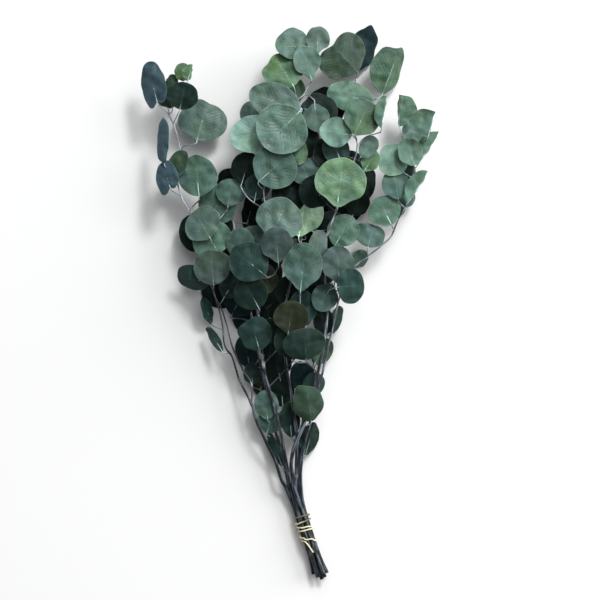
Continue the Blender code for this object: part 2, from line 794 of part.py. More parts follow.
def lay_stem(name, wood, under, over, pile):
    """Lays one stem on the pile: its under leaves, then its wood, then its over leaves, then petioles."""
    below = pile.everything.copy()
    for leaf in under:
        rest_leaf(leaf, pile.everything)
        pile.add_leafage(leaf.footprint(), BLADE_THICKNESS / 2)
    pile.add_wood(lift_wood(name, wood, pile.blades, pile.wood))
    for leaf in over:
        leaf.least = joint_of(wood, leaf)[2] + leaf.loft
        rest_leaf(leaf, pile.everything)
        pile.add_leafage(leaf.footprint(), BLADE_THICKNESS / 2)
    for leaf in under + over:
        hang_petiole(leaf, wood, below)
        root, middle, joint = leaf.petiole()
        shares = np.linspace(0, 1, 8)[:, None]
        line = [root * (1 - shares) + middle * shares, middle * (1 - shares) + joint * shares]
        pile.add_leafage(np.vstack(line), PETIOLE_RADIUS)


def ease_petioles(wood, under, over):
    """Asks for higher wood, and for higher under leaves, where a trial left a petiole too steep."""
    for leaf in over:
        for ring in leaf.hold[:2]:
            wood.wanted[ring] = max(wood.wanted[ring], leaf.root()[2] - PETIOLE_RISE)
    for leaf in under:
        if not leaf.flat:
            leaf.least = joint_of(wood, leaf)[2] - PETIOLE_RISE


def lay_bunch():
    """Lays the stems on the surface one after the other, each over those before it."""
    pile = Pile()
    stems = {}
    flat_left = FLAT_LEAVES
    for name in ROUTES:
        draw = np.random.default_rng(LEAF_SEEDS[name])
        under = []
        for row in hidden_rows(name):
            flat = flat_left > 0 and name.startswith("under") and len(under) % 2 == 0
            under.append(Leaf(row, draw, 0.0 if flat else HIDDEN_TILT))
            flat_left -= flat
        under += [Leaf(row, draw, MOST_TILT) for row in UNDER_LEAVES[name]]
        over = [Leaf(row, draw, MOST_TILT) for row in OVER_LEAVES[name]]
        wood = Wood(name)
        join_leaves(wood, under + over)
        wood.wanted = np.zeros(len(wood.rings))
        for _ in range(TRIALS):
            lay_stem(name, wood, under, over, pile.copy())
            ease_petioles(wood, under, over)
        lay_stem(name, wood, under, over, pile)
        stems[name] = (wood, under + over)
    return stems


def ring_frames(points, side):
    """A pair of section axes at each point of a line, carried along it with the least turn."""
    points = np.array(points)
    ahead = np.gradient(points, axis=0)
    ahead = ahead / np.linalg.norm(ahead, axis=1)[:, None]
    across = []
    for direction in ahead:
        side = unit(side - np.dot(side, direction) * direction)
        across.append(side)
    across = np.array(across)
    return across, np.cross(ahead, across)


def tube_faces(rings, sides):
    """Quads between rings of points, and a cap on each end."""
    faces = []
    for ring in range(rings - 1):
        for side in range(sides):
            after = (side + 1) % sides
            low = ring * sides
            high = low + sides
            faces.append((low + side, low + after, high + after, high + side))
    faces.append(tuple(reversed(range(sides))))
    faces.append(tuple(range((rings - 1) * sides, rings * sides)))
    return faces


def tube(points, radii, sides):
    """Points and faces of a closed tube along a line."""
    across, up = ring_frames(points, np.array([1.0, 0.3, 0.0]))
    angles = np.linspace(0, 2 * math.pi, sides, endpoint=False)
    radii = np.broadcast_to(radii, len(points))
    rings = (
        np.array(points)[:, None]
        + (radii[:, None] * np.cos(angles))[..., None] * across[:, None]
        + (radii[:, None] * np.sin(angles))[..., None] * up[:, None]
    )
    return rings.reshape(-1, 3), tube_faces(len(points), sides)


def leaf_mesh(leaf):
    """Points and faces of a blade with its petiole. Both faces of the blade are fans round its middle,
    and the short rim at the root opens into the petiole, whose end is sunk in the wood."""
    root_angle = math.asin(ROOT_HALF_WIDTH / (leaf.width / 2))
    angles = np.linspace(root_angle, 2 * math.pi - root_angle, BLADE_SIDES)
    rim = leaf.blade(np.ones(BLADE_SIDES), angles)
    middle = leaf.blade(np.zeros(1), np.zeros(1))
    face = np.vstack([rim, middle])
    half = leaf.normals(np.append(angles, 0.0)) * BLADE_THICKNESS / 2
    count = BLADE_SIDES + 1
    points = [face + half, face - half]
    faces = []
    for side in range(BLADE_SIDES):
        after = (side + 1) % BLADE_SIDES
        faces.append((side, BLADE_SIDES, after))
        faces.append((count + after, count + BLADE_SIDES, count + side))
        if after:
            faces.append((side, after, count + after))
            faces.append((side, count + after, count + side))
    line = leaf.petiole()
    across, up = ring_frames(line, leaf.side)
    last = BLADE_SIDES - 1
    before = [0, last, count + last, count]
    for number in (1, 2):
        corners = [(1, 1), (-1, 1), (-1, -1), (1, -1)]
        signs = -np.sign(np.dot(rim[0] - rim[last], across[0])), -np.sign(np.dot(leaf.normal, up[0]))
        section = [
            line[number]
            - PETIOLE_RADIUS * (a * signs[0] * across[number] + b * signs[1] * up[number])
            for a, b in corners
        ]
        start = 2 * count + 4 * (number - 1)
        points.append(np.array(section))
        ring = [start, start + 1, start + 2, start + 3]
        for corner in range(4):
            after = (corner + 1) % 4
            faces.append((before[corner], ring[corner], ring[after], before[after]))
        before = ring
    faces.append((before[3], before[2], before[1], before[0]))
    return np.vstack(points), faces


def band_line():
    """The middle line of the tie: passes over the stems from left to right and back beneath them, round
    the corners of their hexagon, until its end turns down between the two upper stems."""
    reach = STEM_RADIUS + BAND_GAP + BAND_RADIUS
    valley = math.sqrt(reach**2 - (STEM_PITCH / 2) ** 2)
    stops = []
    for number, (left, right) in enumerate(BAND_PASSES):
        stops.append((180 - 360 * number, left))
        stops.append((-360 * number, right))
    turns, places = zip(*stops)
    last_turn = turns[-2] - 60
    line = []
    for corner in np.arange(240, last_turn - 1, -60):
        for turn in (corner + 22, corner - 22):
            along = np.interp(-turn, -np.array(turns), places)
            around = math.radians(turn)
            centre = math.radians(corner)
            across = STEM_PITCH * math.cos(centre) + reach * math.cos(around)
            height = STEM_PITCH * math.sin(centre) + reach * math.sin(around)
            line.append((*bundle_point(along, across), BUNDLE_HEIGHT + height))
    end = BUNDLE_HEIGHT + STEM_PITCH * math.sqrt(3) / 2 + valley
    line.append((*bundle_point(BAND_PASSES[-1][1], 0), end))
    return np.array(line)


def tie():
    """The rubber band that is wound round the stems, one strand all the way."""
    points, faces = tube(band_line(), BAND_RADIUS, BAND_SIDES)
    return solid("tie_band", points, faces, bpy.context.scene.collection)


def solid(name, points, faces, collection):
    """A mesh object from points in millimetres."""
    mesh = bpy.data.meshes.new(name)
    mesh.from_pydata((points * MM).tolist(), [], faces)
    mesh.update()
    piece = bpy.data.objects.new(name, mesh)
    collection.objects.link(piece)
    return piece


def fuse(piece, others):
    """Joins every solid of a collection to a piece, then removes the collection's solids."""
    union = piece.modifiers.new("grown together", "BOOLEAN")
    union.operation = "UNION"
    union.operand_type = "COLLECTION"
    union.collection = others
    union.solver = "EXACT"
    bpy.context.view_layer.update()
    graph = bpy.context.evaluated_depsgraph_get()
    fused = bpy.data.meshes.new_from_object(piece.evaluated_get(graph))
    piece.modifiers.clear()
    piece.data = fused
    for other in list(others.objects):
        bpy.data.objects.remove(other)
    bpy.data.collections.remove(others)


def leafy_stem(name, wood, leaves):
    """One stem with its twigs, petioles and blades, grown together as one solid."""
    scene = bpy.context.scene.collection
    others = bpy.data.collections.new(name + " repeats")
    scene.children.link(others)
    main, *twigs = wood.lines
    points, faces = tube(wood.places[main], wood.radius[main], STEM_SIDES)
    piece = solid("leafy_stem_" + name, points, faces, scene)
    for number, line in enumerate(twigs):
        points, faces = tube(wood.places[line], wood.radius[line[1:2] + line[1:]], TWIG_SIDES)
        solid(f"{name} twig {number}", points, faces, others)
    for number, leaf in enumerate(leaves):
        points, faces = leaf_mesh(leaf)
        solid(f"{name} leaf {number}", points, faces, others)
    fuse(piece, others)
    return piece


def finish(piece, colour, roughness):
    """Gives a piece a material of its own, in place of any that the union left."""
    made = bpy.data.materials.new(piece.name)
    made.use_nodes = True
    shader = made.node_tree.nodes["Principled BSDF"]
    shader.inputs["Base Color"].default_value = colour
    shader.inputs["Roughness"].default_value = roughness
    shader.inputs["Metallic"].default_value = 0.0
    piece.data.materials.clear()
    piece.data.materials.append(made)


def clear_scene():
    for old in list(bpy.data.objects):
        bpy.data.objects.remove(old)


def main():
    clear_scene()
    for name, (wood, leaves) in lay_bunch().items():
        finish(leafy_stem(name, wood, leaves), *LEAFAGE)
    finish(tie(), *RUBBER)


main()
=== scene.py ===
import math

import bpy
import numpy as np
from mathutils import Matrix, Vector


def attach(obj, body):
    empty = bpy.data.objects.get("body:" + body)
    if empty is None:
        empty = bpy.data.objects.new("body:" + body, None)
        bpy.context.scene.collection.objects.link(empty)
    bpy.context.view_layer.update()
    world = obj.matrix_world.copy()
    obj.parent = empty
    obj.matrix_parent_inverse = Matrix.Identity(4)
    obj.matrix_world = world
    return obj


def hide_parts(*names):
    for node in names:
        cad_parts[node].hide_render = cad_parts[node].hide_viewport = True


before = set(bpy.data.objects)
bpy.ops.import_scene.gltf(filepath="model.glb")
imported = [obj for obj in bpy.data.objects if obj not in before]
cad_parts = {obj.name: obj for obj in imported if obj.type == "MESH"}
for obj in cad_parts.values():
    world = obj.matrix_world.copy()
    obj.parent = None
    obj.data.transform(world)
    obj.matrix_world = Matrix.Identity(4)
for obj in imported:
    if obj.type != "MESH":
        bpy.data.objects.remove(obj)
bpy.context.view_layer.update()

# A tied bunch of seven leafy eucalyptus stems, lying on a pale floor and seen from straight above.
# Places are read on a laying-out sheet of 600 mm by 600 mm that the bunch lies on: x runs to the right
# and y runs down from the sheet's top left corner. The frame has +X to the sheet's right, +Y to its top
# and +Z up. Lengths are in millimetres until a mesh is made.

MM = 0.001
SHEET_CENTRE = (289.4, 302.5)

# Stems and the bundle
STEM_RADIUS = 2.1
STEM_GAP = 0.3
STEM_PITCH = 2 * STEM_RADIUS + STEM_GAP
BUNDLE_TOP = (300.2, 515.2)
BUNDLE_LEAN = math.radians(17.9)
STRAIGHT_REACH = 46.0
END_SPLAY = 0.023
TIP_RADIUS = 0.65
# How far above the tie a stem has thinned to about a third of its section
THINNING = {"left": 85.0, "right": 110.0, "front_right": 330.0}
USUAL_THINNING = 160.0

# Leaves
BLADE_THICKNESS = 0.7
PETIOLE_RADIUS = 0.6
PETIOLE_STUB = 3.5
PETIOLE_REACH = 17.0
MOST_TILT = 0.13
HIDDEN_TILT = 0.18
LOFT = 4.0
# How far a blade is cupped, curled and waved at most, in shares of its width or length, how far its tip
# is pointed or blunt, and how far its rim draws in at an angle from the root on both sides
CUP = 0.05
CURL = 0.05
WAVE = 0.03
POINT = 0.06
POINT_SPREAD = 0.5
TAPER = 0.07
TAPER_RANGE = 0.05
TAPER_ANGLE = 0.6
TAPER_SPREAD = 0.35
# The share of its drawn tilt that a leaf keeps when its lean is given
GIVEN_TILT = 0.4
# The crown is a low dome: its leaves lean outwards, more the further they are from its middle
DOME_MIDDLE = (289.0, 200.0)
DOME_HALF = (110.0, 160.0)
DOME_LEAN = (0.34, 0.16)
PETIOLE_RISE = 15.0
TRIALS = 1

# How twigs grow: no leaf joins a stem lower than this above the bundle's top, a place costs more where
# the wood grows away from the leaf, and a twig leads with its stem for a share of its reach
BARE_REACH = 18.0
AWAY_COST = 0.7
TWIG_LEAD = 0.4

# How the pieces lie on each other
CELL = 1.5
MAP_LOW = (-165.0, -292.0)
MAP_SIZE = (222, 392)
LEAF_GAP = 1.2
WOOD_GAP = 1.0
STEEPEST = 0.4
RING_STEP = 26.0
BEAD_STEP = 4.0
PETIOLE_BEADS = 8
# Above the bundle's top, a stem can be lifted beyond the first and has climbed to its crown at the second
HELD_REACH = 4.0
CLIMB_REACH = 300.0

# The tie
BAND_RADIUS = 0.75
BAND_GAP = 0.4
# The strand turns round the stems at the six corners of the bundle, half of a turn on each side, and
# starts at a corner, in degrees
CORNER_STEP = 60
CORNER_HALF = 22
BAND_START = 240
# Each pass of the band over the stems: how far along the bundle it is at its left and at its right
BAND_PASSES = [(3.9, 5.0), (11.0, 9.4), (14.3, 17.6), (18.4, 19.8), (24.3, 33.4), (26.3, 43.0)]
BUNDLE_HEIGHT = 2 * BAND_RADIUS + BAND_GAP + STEM_RADIUS + STEM_PITCH * math.sqrt(3) / 2

# Where each stem runs in the bundle: steps of half a pitch to the right, and rows up
BUNDLE_SEATS = {
    "under_left": (-1, -1),
    "under_right": (1, -1),
    "left": (-2, 0),
    "right": (2, 0),
    "centre": (0, 0),
    "front_left": (-1, 1),
    "front_right": (1, 1),
}

# How far each cut end reaches past the bundle's top
END_REACH = {
    "under_left": 66.0,
    "under_right": 63.0,
    "left": 64.5,
    "right": 67.5,
    "centre": 72.0,
    "front_left": 68.5,
    "front_right": 70.5,
}

# Height of each stem's upper wood where nothing lies under it
CROWN_HEIGHT = {
    "under_left": 10.0,
    "under_right": 12.0,
    "left": 27.0,
    "right": 30.0,
    "centre": 26.0,
    "front_left": 36.0,
    "front_right": 38.0,
}

# Main routes on the sheet, from just above the bundle to the tip, and the forks that leave them
ROUTES = {
    "under_left": [
        [(289.5, 492), (284, 465), (277, 440), (270, 412), (264, 384), (258, 356), (253, 328), (248, 300),
         (243, 275), (238, 250), (233, 225), (229, 200), (227, 186)],
    ],
    "under_right": [
        [(299, 492), (299, 466), (301, 442), (304, 416), (309, 392), (315, 363), (321, 338), (329, 314),
         (334, 290), (339, 266), (345, 242), (352, 219), (359, 197), (367, 176)],
    ],
    "left": [
        [(286.5, 492), (281, 482), (275, 463), (267, 447), (255, 420), (251, 405), (239, 382), (231, 357),
         (224, 346), (221, 322), (216, 302), (208, 279), (199, 253), (193, 230), (190, 213), (180, 195),
         (176, 175), (179, 150), (174, 127), (168, 113)],
        [(251, 405), (251, 385), (243, 372), (237, 359), (231, 346), (226, 326), (221, 310), (214, 296),
         (211, 276), (211, 250)],
    ],
    "right": [
        [(301, 492), (301, 468), (305, 444), (312, 417), (318, 392), (325, 364), (330, 341), (335, 318),
         (340, 297), (347, 279), (356, 266), (368, 256), (380, 247), (391, 237), (396, 226), (401, 215),
         (407, 203), (412, 190), (414, 168), (413, 152), (404, 139)],
        [(413, 152), (423, 142)],
    ],
    "centre": [
        [(296, 492), (296.5, 465), (297, 438), (294, 417), (291, 394), (288, 377), (285, 357), (283, 333),
         (285, 309), (290, 285), (296, 260), (302, 235), (308, 210), (316, 185), (326, 160), (336, 136),
         (345, 113), (352, 92), (357, 76)],
        [(345, 113), (362, 103), (377, 97)],
    ],
    "front_left": [
        [(291.5, 492), (286, 465), (281, 436), (274, 407), (268, 388), (263, 365), (261, 343), (259, 322),
         (256, 302), (254, 283), (257, 262), (264, 240), (266, 215), (264, 190), (266, 167), (270, 143),
         (278, 121), (290, 105), (303, 95), (310, 82)],
        [(268, 388), (282, 374), (295, 359)],
        [(263, 365), (277, 350)],
    ],
    "front_right": [
        [(294.5, 492), (291, 466), (294, 449), (303, 427), (312, 400), (317, 378), (322, 353), (326, 330),
         (327, 306), (325, 283), (324, 261), (325, 241), (331, 225), (337, 208), (346, 188), (352, 168),
         (357, 148), (354, 136)],
        [(325, 241), (312, 231)],
    ],
}

# Leaves that lie under their stem's wood, lowest first. Each row holds the x and y of the blade's
# middle, the heading of its midrib, its length and width, how far its face leans right and up, and
# the name of its colour
UNDER_LEAVES = {
    "under_left": [
        (262, 379, 80, 40, 22, 0.2, 0, "olive"),
        (250, 318, 95, 38, 38, 0, 0, "navy"),
        (225, 262, 150, 38, 40, 0, 0, "shade"),
        (230, 180, 95, 30, 32, 0, 0, "shade"),
        (246, 352, 100, 34, 24, 0.1, 0, "navy"),
    ],
    "under_right": [
        (345, 205, 60, 36, 38, 0, 0, "shade"),
        (318, 268, 100, 36, 36, 0, 0, "shade"),
        (350, 165, 80, 34, 36, 0, 0, "shade"),
        (361, 258, 60, 20, 16, 0, 0, "green"),
        (370, 182, 80, 34, 14, 0.3, 0, "shade"),
    ],
    "left": [
        (230, 286, 60, 28, 24, 0, 0, "teal"),
        (206, 311, 110, 32, 15, 0.74, 0, "teal"),
        (197, 232, 122, 42, 40, 0, 0, "shade"),
        (217, 204, 62, 42, 40, 0, 0, "grey"),
    ],
    "right": [
        (409, 197, 70, 20, 16, 0, 0, "grey"),
        (397, 203, 92, 28, 22, 0, 0, "teal"),
        (409, 171, 85, 22, 18, 0, 0, "deep"),
        (416, 129, 80, 26, 26, 0, 0, "grey"),
    ],
    "centre": [
        (317, 161, 250, 26, 24, 0, 0, "grey"),
        (338, 112, 95, 28, 26, 0, 0, "shade"),
        (326, 110, 110, 25, 25, 0, 0, "grey"),
        (297, 222, 120, 34, 32, 0, 0, "shade"),
        (292, 292, 130, 34, 32, 0, 0, "shade"),
        (365, 46, 74, 44, 32, 0.1, 0, "navy"),
    ],
    "front_left": [
        (252, 112, 100, 26, 26, 0, 0, "grey"),
        (246, 168, 75, 32, 32, 0, 0, "shade"),
        (257, 187, 80, 26, 26, 0, 0, "teal"),
        (290, 90, 110, 32, 32, 0, 0, "bright"),
        (267, 279, 88, 30, 24, 0.5, 0, "olive"),
        (255, 238, 75, 26, 30, 0, 0, "grey"),
        (240, 243, 80, 30, 28, 0, 0, "blue"),
        (289, 195, 60, 36, 36, 0, 0, "shade"),
    ],
    "front_right": [
        (303, 308, 100, 38, 28, 0, 0, "teal"),
        (336, 150, 110, 30, 28, 0, 0, "teal"),
    ],
}

# Leaves that lie over their stem's wood, lowest first, in the same columns
OVER_LEAVES = {
    "under_left": [
        (275, 452, 112, 38, 11, 0.3, 0.05, "deep"),
        (251, 375, 95, 22, 18, 0.3, 0, "deep"),
        (281, 391, 95, 36, 27, 0, 0, "deep"),
        (277, 364, 100, 32, 30, 0, 0, "shade"),
        (270, 423, 75, 26, 27, 0, 0, "blue"),
        (266, 406, 95, 30, 25, 0, 0, "blue"),
        (271, 338, 85, 40, 30, 0, 0, "shade"),
        (238, 302, 60, 32, 32, 0, 0, "navy"),
        (252, 202, 75, 36, 18, 0, 0, "shade"),
    ],
    "under_right": [
        (290, 421, 95, 36, 20, 0.05, 0, "deep"),
        (310, 441, 75, 35, 22, 0.1, 0, "deep"),
        (303, 378, 110, 32, 26, 0, 0, "navy"),
        (314, 385, 60, 24, 22, 0, 0, "teal"),
        (322, 352, 60, 30, 22, 0, 0, "moss"),
        (336, 320, 68, 36, 15, 0.7, 0.15, "deep"),
        (324, 322, 95, 28, 22, 0, 0, "shade"),
        (358, 202, 70, 26, 26, 0, 0, "shade"),
    ],
    "left": [
        (201, 119, 76, 41, 52, 0, 0.1, "ash"),
        (230, 192, 80, 28, 30, 0, 0, "grey"),
        (197, 176, 95, 40, 42, 0, 0, "grey"),
        (177, 164, 62, 32, 19, -0.2, 0, "moss"),
        (167, 178, 108, 36, 24, -0.4, 0.1, "ink"),
        (162, 141, 93, 47, 15, -0.5, 0, "ink"),
        (171, 80, 100, 16, 14, 0, 0, "moss"),
        (182, 71, 100, 19, 17, 0, 0, "bright"),
        (190, 73, 74, 17, 16, 0.1, 0, "bright"),
        (167, 94, 110, 28, 26, -0.3, 0, "moss"),
        (183, 96, 75, 28, 33, 0, 0, "deep"),
        (153, 86, 104, 46, 29, -0.45, 0, "ink"),
        (192, 279, 168, 38, 30, -0.3, -0.3, "teal"),
        (211, 239, 115, 34, 42, 0, 0, "green"),
        (202, 224, 120, 33, 41, 0, 0, "ash"),
        (212, 267, 95, 36, 40, 0, 0, "dusk"),
        (214, 340, 123, 31, 11, -0.4, 0.1, "teal"),
    ],
    "right": [
        (371, 235, 75, 25, 36, 0, 0, "blue"),
        (385, 211, 115, 31, 34, 0, 0, "green"),
        (396, 184, 100, 31, 29, 0, 0, "blue"),
        (418, 187, 58, 38, 24, 0.05, 0, "green"),
        (428, 149, 57, 39, 24, 0.05, 0, "green"),
        (394, 160, 130, 32, 35, 0, 0, "mint"),
        (410, 152, 105, 29, 29, 0, 0, "green"),
        (400, 110, 90, 31, 36, -0.05, 0, "green"),
        (430, 126, 75, 27, 44, 0.05, 0, "green"),
    ],
    "centre": [
        (351, 95, 165, 47, 31, 0, 0, "green"),
        (392, 69, 69, 50, 44, 0.05, 0, "fern"),
        (344, 55, 133, 42, 53, 0, 0, "moss"),
        (343, 231, 62, 34, 32, 0, 0, "green"),
        (303, 213, 80, 46, 42, 0, 0, "pale"),
        (370, 161, 62, 24, 20, 0, 0, "bright"),
        (368, 148, 52, 26, 18, 0.3, 0, "blue"),
    ],
    "front_left": [
        (284, 71, 122, 37, 42, 0, 0, "bright"),
        (316, 117, 275, 28, 27, 0, 0.2, "blue"),
        (305, 172, 110, 28, 28, 0, 0, "blue"),
        (292, 152, 60, 30, 32, 0, 0, "bright"),
        (255, 134, 190, 50, 38, 0, 0, "frost"),
        (275, 102, 158, 54, 36, 0, 0, "ash"),
        (292, 43, 133, 32, 35, 0, 0, "grey"),
        (318, 39, 86, 28, 24, 0, 0, "ash"),
        (307, 62, 105, 32, 28, 0, 0, "grey"),
        (279, 220, 66, 42, 48, 0, 0, "ash"),
        (275, 168, 42, 43, 46, 0, 0, "blue"),
        (282, 130, 225, 50, 54, 0, 0, "grey"),
        (251, 293, 118, 35, 35, 0, 0, "deep"),
        (255, 334, 105, 35, 34, 0, 0, "teal"),
        (249, 262, 140, 42, 40, 0, 0, "teal"),
        (277, 245, 95, 35, 32, 0, 0, "slate"),
    ],
    "front_right": [
        (309, 405, 98, 38, 33, 0, 0, "moss"),
        (325, 297, 240, 30, 26, 0, 0, "sea"),
        (318, 246, 80, 34, 20, 0.4, 0, "dusk"),
        (338, 265, 95, 37, 34, 0, 0, "slate"),
        (350, 286, 5, 28, 37, 0, 0, "teal"),
        (291, 341, 95, 38, 34, 0, 0, "deep"),
        (291, 317, 80, 34, 35, 0, 0, "olive"),
        (336, 134, 168, 31, 30, 0, 0, "light"),
        (362, 119, 65, 38, 37, 0, 0, "fern"),
        (383, 114, 81, 33, 19, 0.05, 0, "green"),
        (303, 267, 84, 47, 38, 0, 0, "blue"),
        (340, 184, 82, 47, 52, 0, 0, "hero"),
        (305, 344, 95, 33, 44, 0, 0, "deep"),
    ],
}

# Blades that are folded along the midrib, by their middles: how many degrees the half to the left of
# the midrib and the half to its right are turned down
FOLDS = {
    (392, 69): (4, 60),
    (400, 110): (84, 4),
    (430, 126): (4, 84),
    (428, 149): (6, 82),
    (418, 187): (6, 82),
    (383, 114): (4, 82),
    (190, 73): (4, 78),
    (365, 46): (4, 40),
    (344, 55): (10, 10),
    (192, 279): (34, 10),
    (255, 334): (20, 12),
    (305, 344): (8, 14),
    (309, 405): (12, 22),
    (310, 441): (8, 34),
    (201, 119): (12, 6),
    (371, 235): (12, 26),
    (214, 340): (20, 0),
}

# Blades with uneven rims, by their middles. Each change holds an angle in degrees from the root over
# the left half, by what share the rim reaches further there, and over how many degrees that fades
ACUTE = [(0, 0.06, 13), (36, -0.06, 22), (324, -0.06, 22)]
LOBES = {
    (340, 184): ACUTE,
    (318, 39): ACUTE,
    (307, 62): [(0, 0.14, 14), (40, -0.14, 24), (320, -0.14, 24)],
    (303, 213): ACUTE,
    (277, 245): ACUTE,
    (338, 265): ACUTE,
    (303, 267): ACUTE,
    (362, 119): [(0, 0.08, 14), (180, -0.06, 20)],
    (344, 55): [(231, 0.14, 25), (121, 0.06, 25), (180, -0.16, 22)],
    (365, 46): [(180, 0.14, 14), (235, 0.10, 20)],
    (284, 71): [(125, 0.09, 14), (152, -0.06, 12), (182, 0.05, 12), (215, -0.07, 16), (245, 0.07, 14)],
    (153, 86): [(0, -0.30, 22), (32, 0.14, 20), (207, 0.12, 20)],
    (162, 141): [(180, 0.08, 10), (55, 0.22, 25), (125, -0.24, 25), (235, 0.22, 25), (305, -0.24, 25)],
    (167, 178): [(0, -0.38, 24), (45, 0.24, 24), (213, 0.10, 20)],
    (201, 119): [(161, 0.08, 12), (188, -0.08, 10)],
    (255, 334): [(108, 0.12, 16), (80, -0.06, 10), (158, -0.14, 22), (222, 0.05, 16)],
    (309, 405): [(152, 0.26, 18), (293, 0.08, 18)],
    (371, 235): [(182, -0.14, 18), (120, 0.06, 16), (240, 0.08, 16)],
    (392, 69): [(188, 0.13, 14), (140, 0.08, 16)],
    (430, 126): [(150, 0.12, 16)],
    (400, 110): [(215, 0.12, 18), (320, -0.08, 20)],
    (275, 102): [(60, 0.05, 20), (200, 0.05, 18)],
    (251, 293): [(95, 0.06, 16), (150, -0.05, 14)],
    (212, 267): [(250, 0.06, 18), (300, -0.05, 16), (200, -0.05, 12)],
    (202, 224): [(215, 0.07, 16), (170, -0.03, 14)],
}

# Leaves added by rule under the wood of a stem: first and last y on its route, and the seed
HIDDEN_LEAVES = {
    "under_left": (350, 180, 11),
    "under_right": (330, 170, 12),
    "left": (300, 225, 16),
    "centre": (320, 90, 13),
    "front_left": (198, 90, 14),
    "front_right": (222, 140, 15),
}
HIDDEN_STEP = 22.0
# The crown's outline on the sheet: a leaf added by rule stays inside it
CROWN = [
    (300, 60), (345, 42), (380, 62), (376, 100), (368, 130), (372, 160), (366, 196), (372, 214),
    (362, 262), (360, 296), (338, 320), (326, 350), (322, 400), (300, 424), (262, 430), (244, 366),
    (238, 322), (206, 300), (188, 284), (196, 262), (184, 240), (190, 216), (216, 190), (242, 176),
    (240, 130), (262, 84),
]
HIDDEN_SIZE = (32.0, 40.0)
HIDDEN_SPLAY = (48.0, 72.0)
HIDDEN_PETIOLE = 11.0
LOOK_AHEAD = 5.0
FLAT_LEAVES = 4

LEAF_SEEDS = {
    "under_left": 21,
    "under_right": 22,
    "left": 23,
    "right": 24,
    "centre": 25,
    "front_left": 26,
    "front_right": 27,
}

# Colours of the blades, in linear light: each leaf's own colour, with painted light and painted shade in some
# of them
TONES = {
    "hero": (0.086, 0.176, 0.110),
    # pale, frost and mint are lighter than the leaves' own colour: painted light on leaves that lie in shade
    # under others
    "pale": (0.345, 0.560, 0.375),
    "frost": (0.195, 0.345, 0.295),
    "mint": (0.135, 0.250, 0.200),
    "light": (0.098, 0.192, 0.150),
    "ash": (0.086, 0.154, 0.131),
    "bright": (0.068, 0.146, 0.080),
    "fern": (0.044, 0.100, 0.064),
    "green": (0.066, 0.144, 0.104),
    "grey": (0.068, 0.140, 0.112),
    "blue": (0.046, 0.098, 0.083),
    "dusk": (0.054, 0.090, 0.078),
    "sea": (0.032, 0.074, 0.064),
    "ink": (0.038, 0.076, 0.094),
    "moss": (0.030, 0.060, 0.043),
    "slate": (0.038, 0.068, 0.065),
    "teal": (0.019, 0.049, 0.043),
    # deep, navy and shade are partly painted shade: near-black colour on leaves low in the crown
    "deep": (0.010, 0.025, 0.021),
    "olive": (0.020, 0.027, 0.015),
    "navy": (0.006, 0.020, 0.023),
    "shade": (0.004, 0.012, 0.010),
}
# Painted shade: the leaves added by rule under the wood get the near-black shade colour of the crown's depth
HIDDEN_TONE = "shade"
# How much of a blade is flushed with yellow-green
FLUSH = {"hero": 0.4, "bright": 0.6, "fern": 0.5, "moss": 0.4, "ink": 0.0, "navy": 0.0}
USUAL_FLUSH = 0.25

# Blades: the look of their patches, and the tints and tones laid over them. A ramp or an edge says from
# which value to which value an effect changes, and where it isn't from 0 to 1, also from and to what
LEAF_MOTTLE = {"Coarse": 85.0, "Fine": 380.0, "Fineness": 0.25, "Depth": 1.5}
LEAF_CLOUDS = {"Scale": 48.0, "Detail": 2.0}
LEAF_SHIFT = (1.0, 2.3, 0.7)
FLUSH_RAMP = (0.42, 0.66)
FLUSH_TINT = (1.25, 1.18, 0.62)
BLOOM_RAMP = (0.30, 0.48, 0.35, 0.0)
BLOOM_TINT = (1.75, 1.6, 1.75)
VEIN_SHARES = {"Rib": 0.70, "Side": 0.22, "Net": 0.10}
VEIN_TINT = (1.6, 1.5, 1.5)
VEIN_LIFT = (0.010, 0.012, 0.011)
# The pale rim is partly the margin's own colour and partly a painted highlight along the edge
RIM_RAMP = (0.965, 0.992, 0.0, 0.75)
RIM_MARGIN_AND_HIGHLIGHT = (0.020, 0.020, 0.016)
BACK_SHARE = 0.105
BACK_TONE = (0.12, 0.16, 0.145)
SPECK_SCALE = 260.0
SPECK_EDGE = (0.10, 0.20, 1.0, 0.0)
SPECK_PLACES = (0.56, 0.64)
SPECK_SHARE = 0.45
SPECK_TONE = (0.050, 0.035, 0.022)
# A dark blade shines less than a light one: from and to a brightness, from and to a shine
SHINE_RAMP = (0.01, 0.12, 0.10, 0.42)
LEAF_ROUGHNESS = 0.34
SWELL_ROUGHNESS = 0.30
UNDER_ROUGHNESS = 0.12
LEAF_RELIEF = {"Grain": 0.12, "Side": -0.35, "Net": -0.10, "Swell": 5.0}
LEAF_RELIEF_HEIGHT = 0.0008

# Veins: places and widths in shares of the blade's half length and half width, and the scales of noises
VEIN_STEP = 0.085
VEIN_POWER = 0.85
VEIN_FORWARD = 0.85
VEIN_WOBBLE = 0.22
VEIN_SHIFT = (37.0, 71.0, 0.0)
WOBBLE_NOISE = {"Scale": 3.5, "Detail": 2.0}
SIDE_EDGE = (0.003, 0.018, 1.0, 0.0)
SIDE_END = (0.70, 0.93, 1.0, 0.0)
RING_PLACE = 0.90
RING_EDGE = (0.004, 0.02, 0.4, 0.0)
RIB_EDGE = (0.012, 0.050, 1.0, 0.0)
RIB_END = (0.15, 0.75, 1.0, 0.05)
NET_SCALE = 15.0
NET_EDGE = (0.02, 0.12, 1.0, 0.0)

# Mottling: the detail of its noises
MOTTLE_DETAIL = 3.0
SWELL_DETAIL = 0.6

# Bark: its colours from the cut end to the tip, at shares of the way, and the darker bark of some stems
BARK_TONES = [(0.009, 0.011, 0.014), (0.020, 0.024, 0.029), (0.042, 0.045, 0.049)]
BARK_STOPS = [0.0, 0.28, 0.62]
DARK_BARK = {"left": 0.45, "under_left": 0.7, "under_right": 0.7}
DARK_FROM = 0.4
